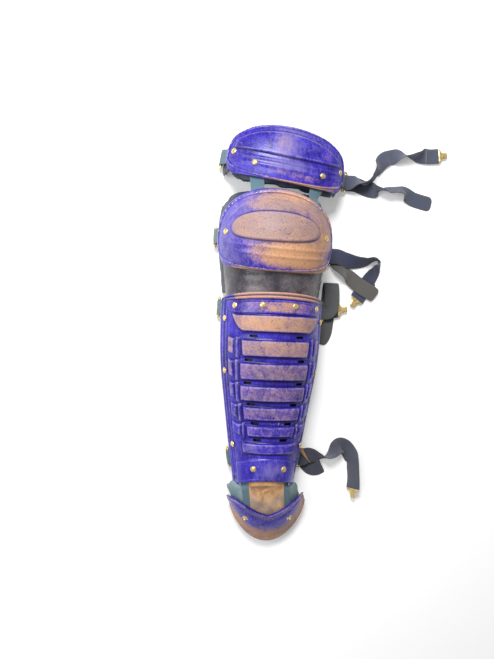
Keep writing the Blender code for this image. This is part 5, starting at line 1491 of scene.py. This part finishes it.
calfTailRoute = (
    (0.26, 0.05, 6.6, 96, 0), (0.38, 0.34, 7.8, 134, 0), (0.39, 0.80, 8.6, 168, 0),
    (0.37, 1.20, 8.0, 180, 0), (0.36, 1.42, 4.2, 180, 0), (0.36, 1.25, 0.8, 180, 0),
    (0.33, 0.75, 0.2, 180, 0), (0.29, 0.10, 0.1, 180, 0), (0.24, -0.50, 0.1, 182, 0),
    (0.17, -1.10, 0.1, 184, 0), (0.06, -1.60, 0.1, 190, 0))
ankleHookRoute = (
    (0.09, 0.045, 4.6, 84, 5), (0.19, 0.045, 3.2, 86, 20), (0.30, 0.03, 2.0, 88, 50),
    (0.42, 0.018, 1.2, 95, 82), (0.52, 0.067, 0.5, 120, 105), (0.60, 0.148, 0.3, 130, 130),
    (0.69, 0.215, 0.3, 95, 165),
    (0.785, 0.19, 0.3, 50, 180), (0.865, 0.10, 0.2, 28, 190), (0.905, -0.02, 0.1, 8, 230),
    (0.925, -0.20, 0.1, 4, 236), (0.94, -0.38, 0.1, 0, 236), (0.937, -0.52, 0.8, 0, 230))
ankleTailRoute = (
    (0.05, -0.02, 0.8, 70, 0), (0.11, -0.10, 0.2, 52, 0), (0.20, -0.175, 0.1, 60, 0),
    (0.30, -0.185, 0.1, 95, 10), (0.385, -0.14, 0.1, 115, 10))


# the strap's line: from the hook, half round the ring's outer bar, to the tail
def strapKnots(place, reach, hookRoute, tailRoute, hookOnTop):
    drop = closureLook["tabHeight"] - ringOuterHeight
    barOut = closureLook["tabReach"] + math.sqrt(closureLook["ringPitch"] ** 2 - drop**2)
    bar = atFrame(place, barOut, 0.0, 0.0)
    roundBar = ringWire + fitGap + strapThickness / 2
    across = 90.0 + math.degrees(math.atan2(place[1][1], place[1][0]))

    def routeKnots(route):
        out, along, lift, heading, tilt = np.array(route, float).T
        edge = np.radians(tilt)
        rest = np.abs(np.sin(edge)) * strapWidth / 2 + np.abs(np.cos(edge)) * strapThickness / 2
        return np.stack([bar[0] + out * reach, bar[1] + along * reach, rest + lift * strapThickness,
                         heading, tilt], 1)

    bends = np.radians(np.arange(90.0, 271.0, 22.5))
    around = [(roundBar * math.cos(bend), math.sin(bend)) for bend in bends]
    wrap = [(ringWire, 1.0), *around, (ringWire, -1.0)]
    if not hookOnTop:
        wrap.reverse()
    loop = [(*atFrame(place, barOut + out, 0.0, ringOuterHeight + roundBar * up), across, 0.0)
            for out, up in wrap]
    return np.concatenate([routeKnots(hookRoute[::-1]), loop, routeKnots(tailRoute)]), len(hookRoute) + 4


# the lowest height of a band at each centre: its middle less what its width and thickness reach down
def lowestOf(centres, widths, wides, thick):
    _, across, rise = bandFrame(centres, widths)
    return centres[:, 2] - np.abs(across[:, 2]) * wides / 2 - np.abs(rise[:, 2]) * thick / 2


# the band along its knots, laid on the floor where it would sink in, with a rounded tail end
def makeStrap(name, surface, along, reach, hookRoute, tailRoute, material, corner, hookOnTop=True):
    place = closureFrame(surface, 1, along)
    knots, turnKnot = strapKnots(place, reach, hookRoute, tailRoute, hookOnTop)
    path = resample(knots, 0.0014)
    chord = runsTo(knots[:, :3])
    run = np.linspace(0.0, chord[-1], len(path))
    heading, tilt = np.radians(path[:, 3]), np.radians(path[:, 4])
    widths = np.stack([np.cos(heading) * np.cos(tilt), np.sin(heading) * np.cos(tilt), np.sin(tilt)], 1)
    left = np.clip(chord[-1] - run, 0.0, corner)
    rounding = 1.0 - np.sqrt(1.0 - (1.0 - left / corner) ** 2)
    wides = strapWidth - 2.0 * min(corner, closureLook["tipCut"]) * rounding * closureLook["tipShare"]
    room = closureLook["strapFloorRoom"]
    centres = path[:, :3]
    for _ in range(3):
        centres[:, 2] += np.maximum(room - lowestOf(centres, widths, wides, strapThickness), 0.0)
    tint = ease(run, chord[turnKnot] - 0.002, chord[turnKnot] + 0.002)
    piece = bandPiece(name + "_band", centres, widths, wides, strapThickness, material, tint)
    dress(piece, "grey_elastic", name)
    tipWay = centres[0] - centres[2]
    tipWay /= np.linalg.norm(tipWay)
    makeHook(name.replace("strap", "hook"), centres[0], tipWay, widths[0])
    return centres, widths, run


# a stamped hook: a wide rolled base, shoulders, a narrow tongue and a curl under its end
def makeHook(node, tip, way, width):
    width = width - width.dot(way) * way
    width /= np.linalg.norm(width)
    down = np.cross(way, width)
    down = -down if down[2] > 0 else down
    curl = closureLook["hookCurl"]
    length = closureLook["hookLength"]
    tongue = closureLook["hookTongue"]
    base = 0.94 * strapWidth
    runs = np.array([0.0, 0.05, 0.14, 0.20, 0.28, 0.36, 0.46, 0.60, 0.76, 0.92])
    wides = [base, base, base, 0.86 * base, 0.62 * base, 1.3 * tongue, 1.08 * tongue, tongue, tongue, tongue]
    bow = 0.0006 * np.sin(np.clip(runs / 0.3, 0, 1) * math.pi)
    centres = [tip + way * (fitGap + share * length) - down * lift for share, lift in zip(runs, bow)]
    end = tip + way * (fitGap + 0.92 * length)
    for bend in np.radians(np.arange(18.0, 145.0, 18.0)):
        centres.append(end + way * curl * math.sin(bend) + down * curl * (1 - math.cos(bend)))
        wides.append(tongue * (1.0 - 0.10 * bend))
    centres.append(centres[-1] - way * 2 * curl + down * 0.2 * curl)
    wides.append(0.7 * tongue)
    piece = bandPiece(node + "_stamped", centres, np.tile(width, (len(centres), 1)), wides,
                      closureLook["hookThickness"], finishes["brass"], sharp=60.0)
    dress(piece, "brass", node)


# short threads across a band at one run, or along it beside an edge
def makeStitches(name, strapLine, start, end, acrossStart, acrossEnd, count, material):
    thread = {"half": 0.0012, "radius": 0.00032, "lift": 0.0001}
    sides = 6
    centres, widths, run = strapLine
    tangent = np.gradient(centres, axis=0)
    tangent /= np.linalg.norm(tangent, axis=1, keepdims=True)
    rise = np.cross(tangent, widths)
    rise = np.where(rise[:, 2:] < 0.0, -rise, rise)
    at = np.linspace(start, end, count)
    side = np.linspace(acrossStart, acrossEnd, count) * strapWidth
    here, wide, up, ahead = [readAlong(at, run, values) for values in (centres, widths, rise, tangent)]
    lengthwise = ahead * abs(end - start) + wide * (acrossEnd - acrossStart) * strapWidth
    lengthwise /= np.linalg.norm(lengthwise, axis=1, keepdims=True)
    sideways = np.cross(up, lengthwise)
    middle = here + wide * side[:, None] + up * (strapThickness / 2 + thread["lift"])
    turns = np.arange(sides) * math.pi / 3
    rings = np.array([(-1.0, 0.3), (-0.8, 0.9), (0.0, 1.0), (0.8, 0.9), (1.0, 0.3)])
    ring = np.cos(turns)[:, None] * sideways[:, None, None] + np.sin(turns)[:, None] * up[:, None, None]
    points = (middle[:, None, None] + rings[None, :, None, :1] * lengthwise[:, None, None] * thread["half"]
              + ring * rings[None, :, None, 1:] * thread["radius"])
    size = len(rings) * sides
    ends = [list(range(sides))[::-1], list(range(size - sides, size))]
    single = gridFaces(len(rings), sides, True).tolist() + ends
    faces = [[corner + size * k for corner in face] for k in range(count) for face in single]
    piece = makePiece(name, points, faces, material)
    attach(piece, "root")


def makeClosures():
    tones = {
        "thigh": ("grey_navy_elastic", (70, 78, 100), (64, 72, 92), (104, 112, 132)),
        "knee": ("navy_olive_elastic", (44, 54, 88), (88, 86, 82), (110, 110, 116)),
        "calf": ("olive_charcoal_elastic", (60, 62, 78), (82, 84, 86), (112, 112, 112)),
        "ankle": ("charcoal_elastic", (58, 62, 80), (56, 60, 76), (96, 100, 118)),
    }
    weave = {}
    for key, (name, body, other, thread) in tones.items():
        weave[key] = wovenMaterial(name, colour(*body), colour(*other), colour(*thread), 12.0, 9.0)
    rightBar = (closureLook["tabReach"], closureLook["tabHeight"])
    leftBar = (closureLook["leftTabReach"], closureLook["leftTabHeight"])
    kneeLength = guard["kneeLength"]
    places = (
        ("thigh", thighPoint, (-0.07 * guard["thighLength"], -0.10 * guard["thighLength"], 77.0), 0.170,
         thighHookRoute, thighTailRoute),
        ("knee", legPoint, (kneeStart + 0.35 * kneeLength, kneeStart + 0.48 * kneeLength, 77.0), 0.086,
         kneeHookRoute, kneeTailRoute),
        ("calf", legPoint, (0.92 * shinLength, 0.92 * shinLength, 85.0), 0.034, calfHookRoute, calfTailRoute),
        ("ankle", legPoint, (0.10 * shinLength, 0.10 * shinLength, 85.0), 0.096, ankleHookRoute,
         ankleTailRoute),
    )
    lines = {}
    for name, surface, (right, left, edge), reach, hookRoute, tailRoute in places:
        place = makeTab(name + "_tab_right", surface, 1, right, edge, rightBar)
        makeLoopRing(name + "_ring_right", place, rightBar)
        place = makeTab(name + "_tab_left", surface, -1, left, edge, leftBar)
        makeDRing(name + "_ring_left", place, leftBar)
        corner = {"thigh": 0.008, "knee": 0.006, "calf": 0.030, "ankle": 0.002}[name]
        lines[name] = makeStrap(name + "_strap", surface, right, reach, hookRoute, tailRoute, weave[name],
                                corner, name != "calf")
    makeKeeper("knee_keeper", lines["knee"], 0.034, 0.007, 0.0004, weave["ankle"])
    centres, _, run = lines["ankle"]
    ringRun = float(run[centres[:, 0].argmin()])
    makeKeeper("ankle_keeper", lines["ankle"], ringRun - 0.012, 0.003, 0.0004, finishes["tanThread"])
    makeStitches("thigh_bar_tack", lines["thigh"], 0.024, 0.024, -0.42, 0.42, 9, finishes["stitch"])
    makeStitches("calf_bar_tack", lines["calf"], 0.014, 0.014, -0.42, 0.42, 9, finishes["stitch"])


makeClosures()
print("closures made")


# Floor

# a pale floor just under the guard, for the stage only
def makeFloor():
    size = {"half": 3.0, "drop": 0.0002}
    half = size["half"]
    points = np.array([(-half, -half, -size["drop"]), (half, -half, -size["drop"]),
                       (half, half, -size["drop"]), (-half, half, -size["drop"])])
    material, tree, shader, place, _ = newMaterial("pale_floor")
    tone = cloud(tree, place, 3.0, 3.0, 0.5)
    base = blendColours(tree, tone, colour(246, 246, 246), colour(250, 250, 250))
    finishSurface(tree, shader, base, 0.6, tone, 0.02, 0.001)
    shader.inputs["Emission Color"].default_value = (1.0, 1.0, 1.0, 1.0)
    shader.inputs["Emission Strength"].default_value = 0.22
    floor = makePiece("floor", points, [(0, 1, 2, 3)], material)


makeFloor()

print("all pieces made")
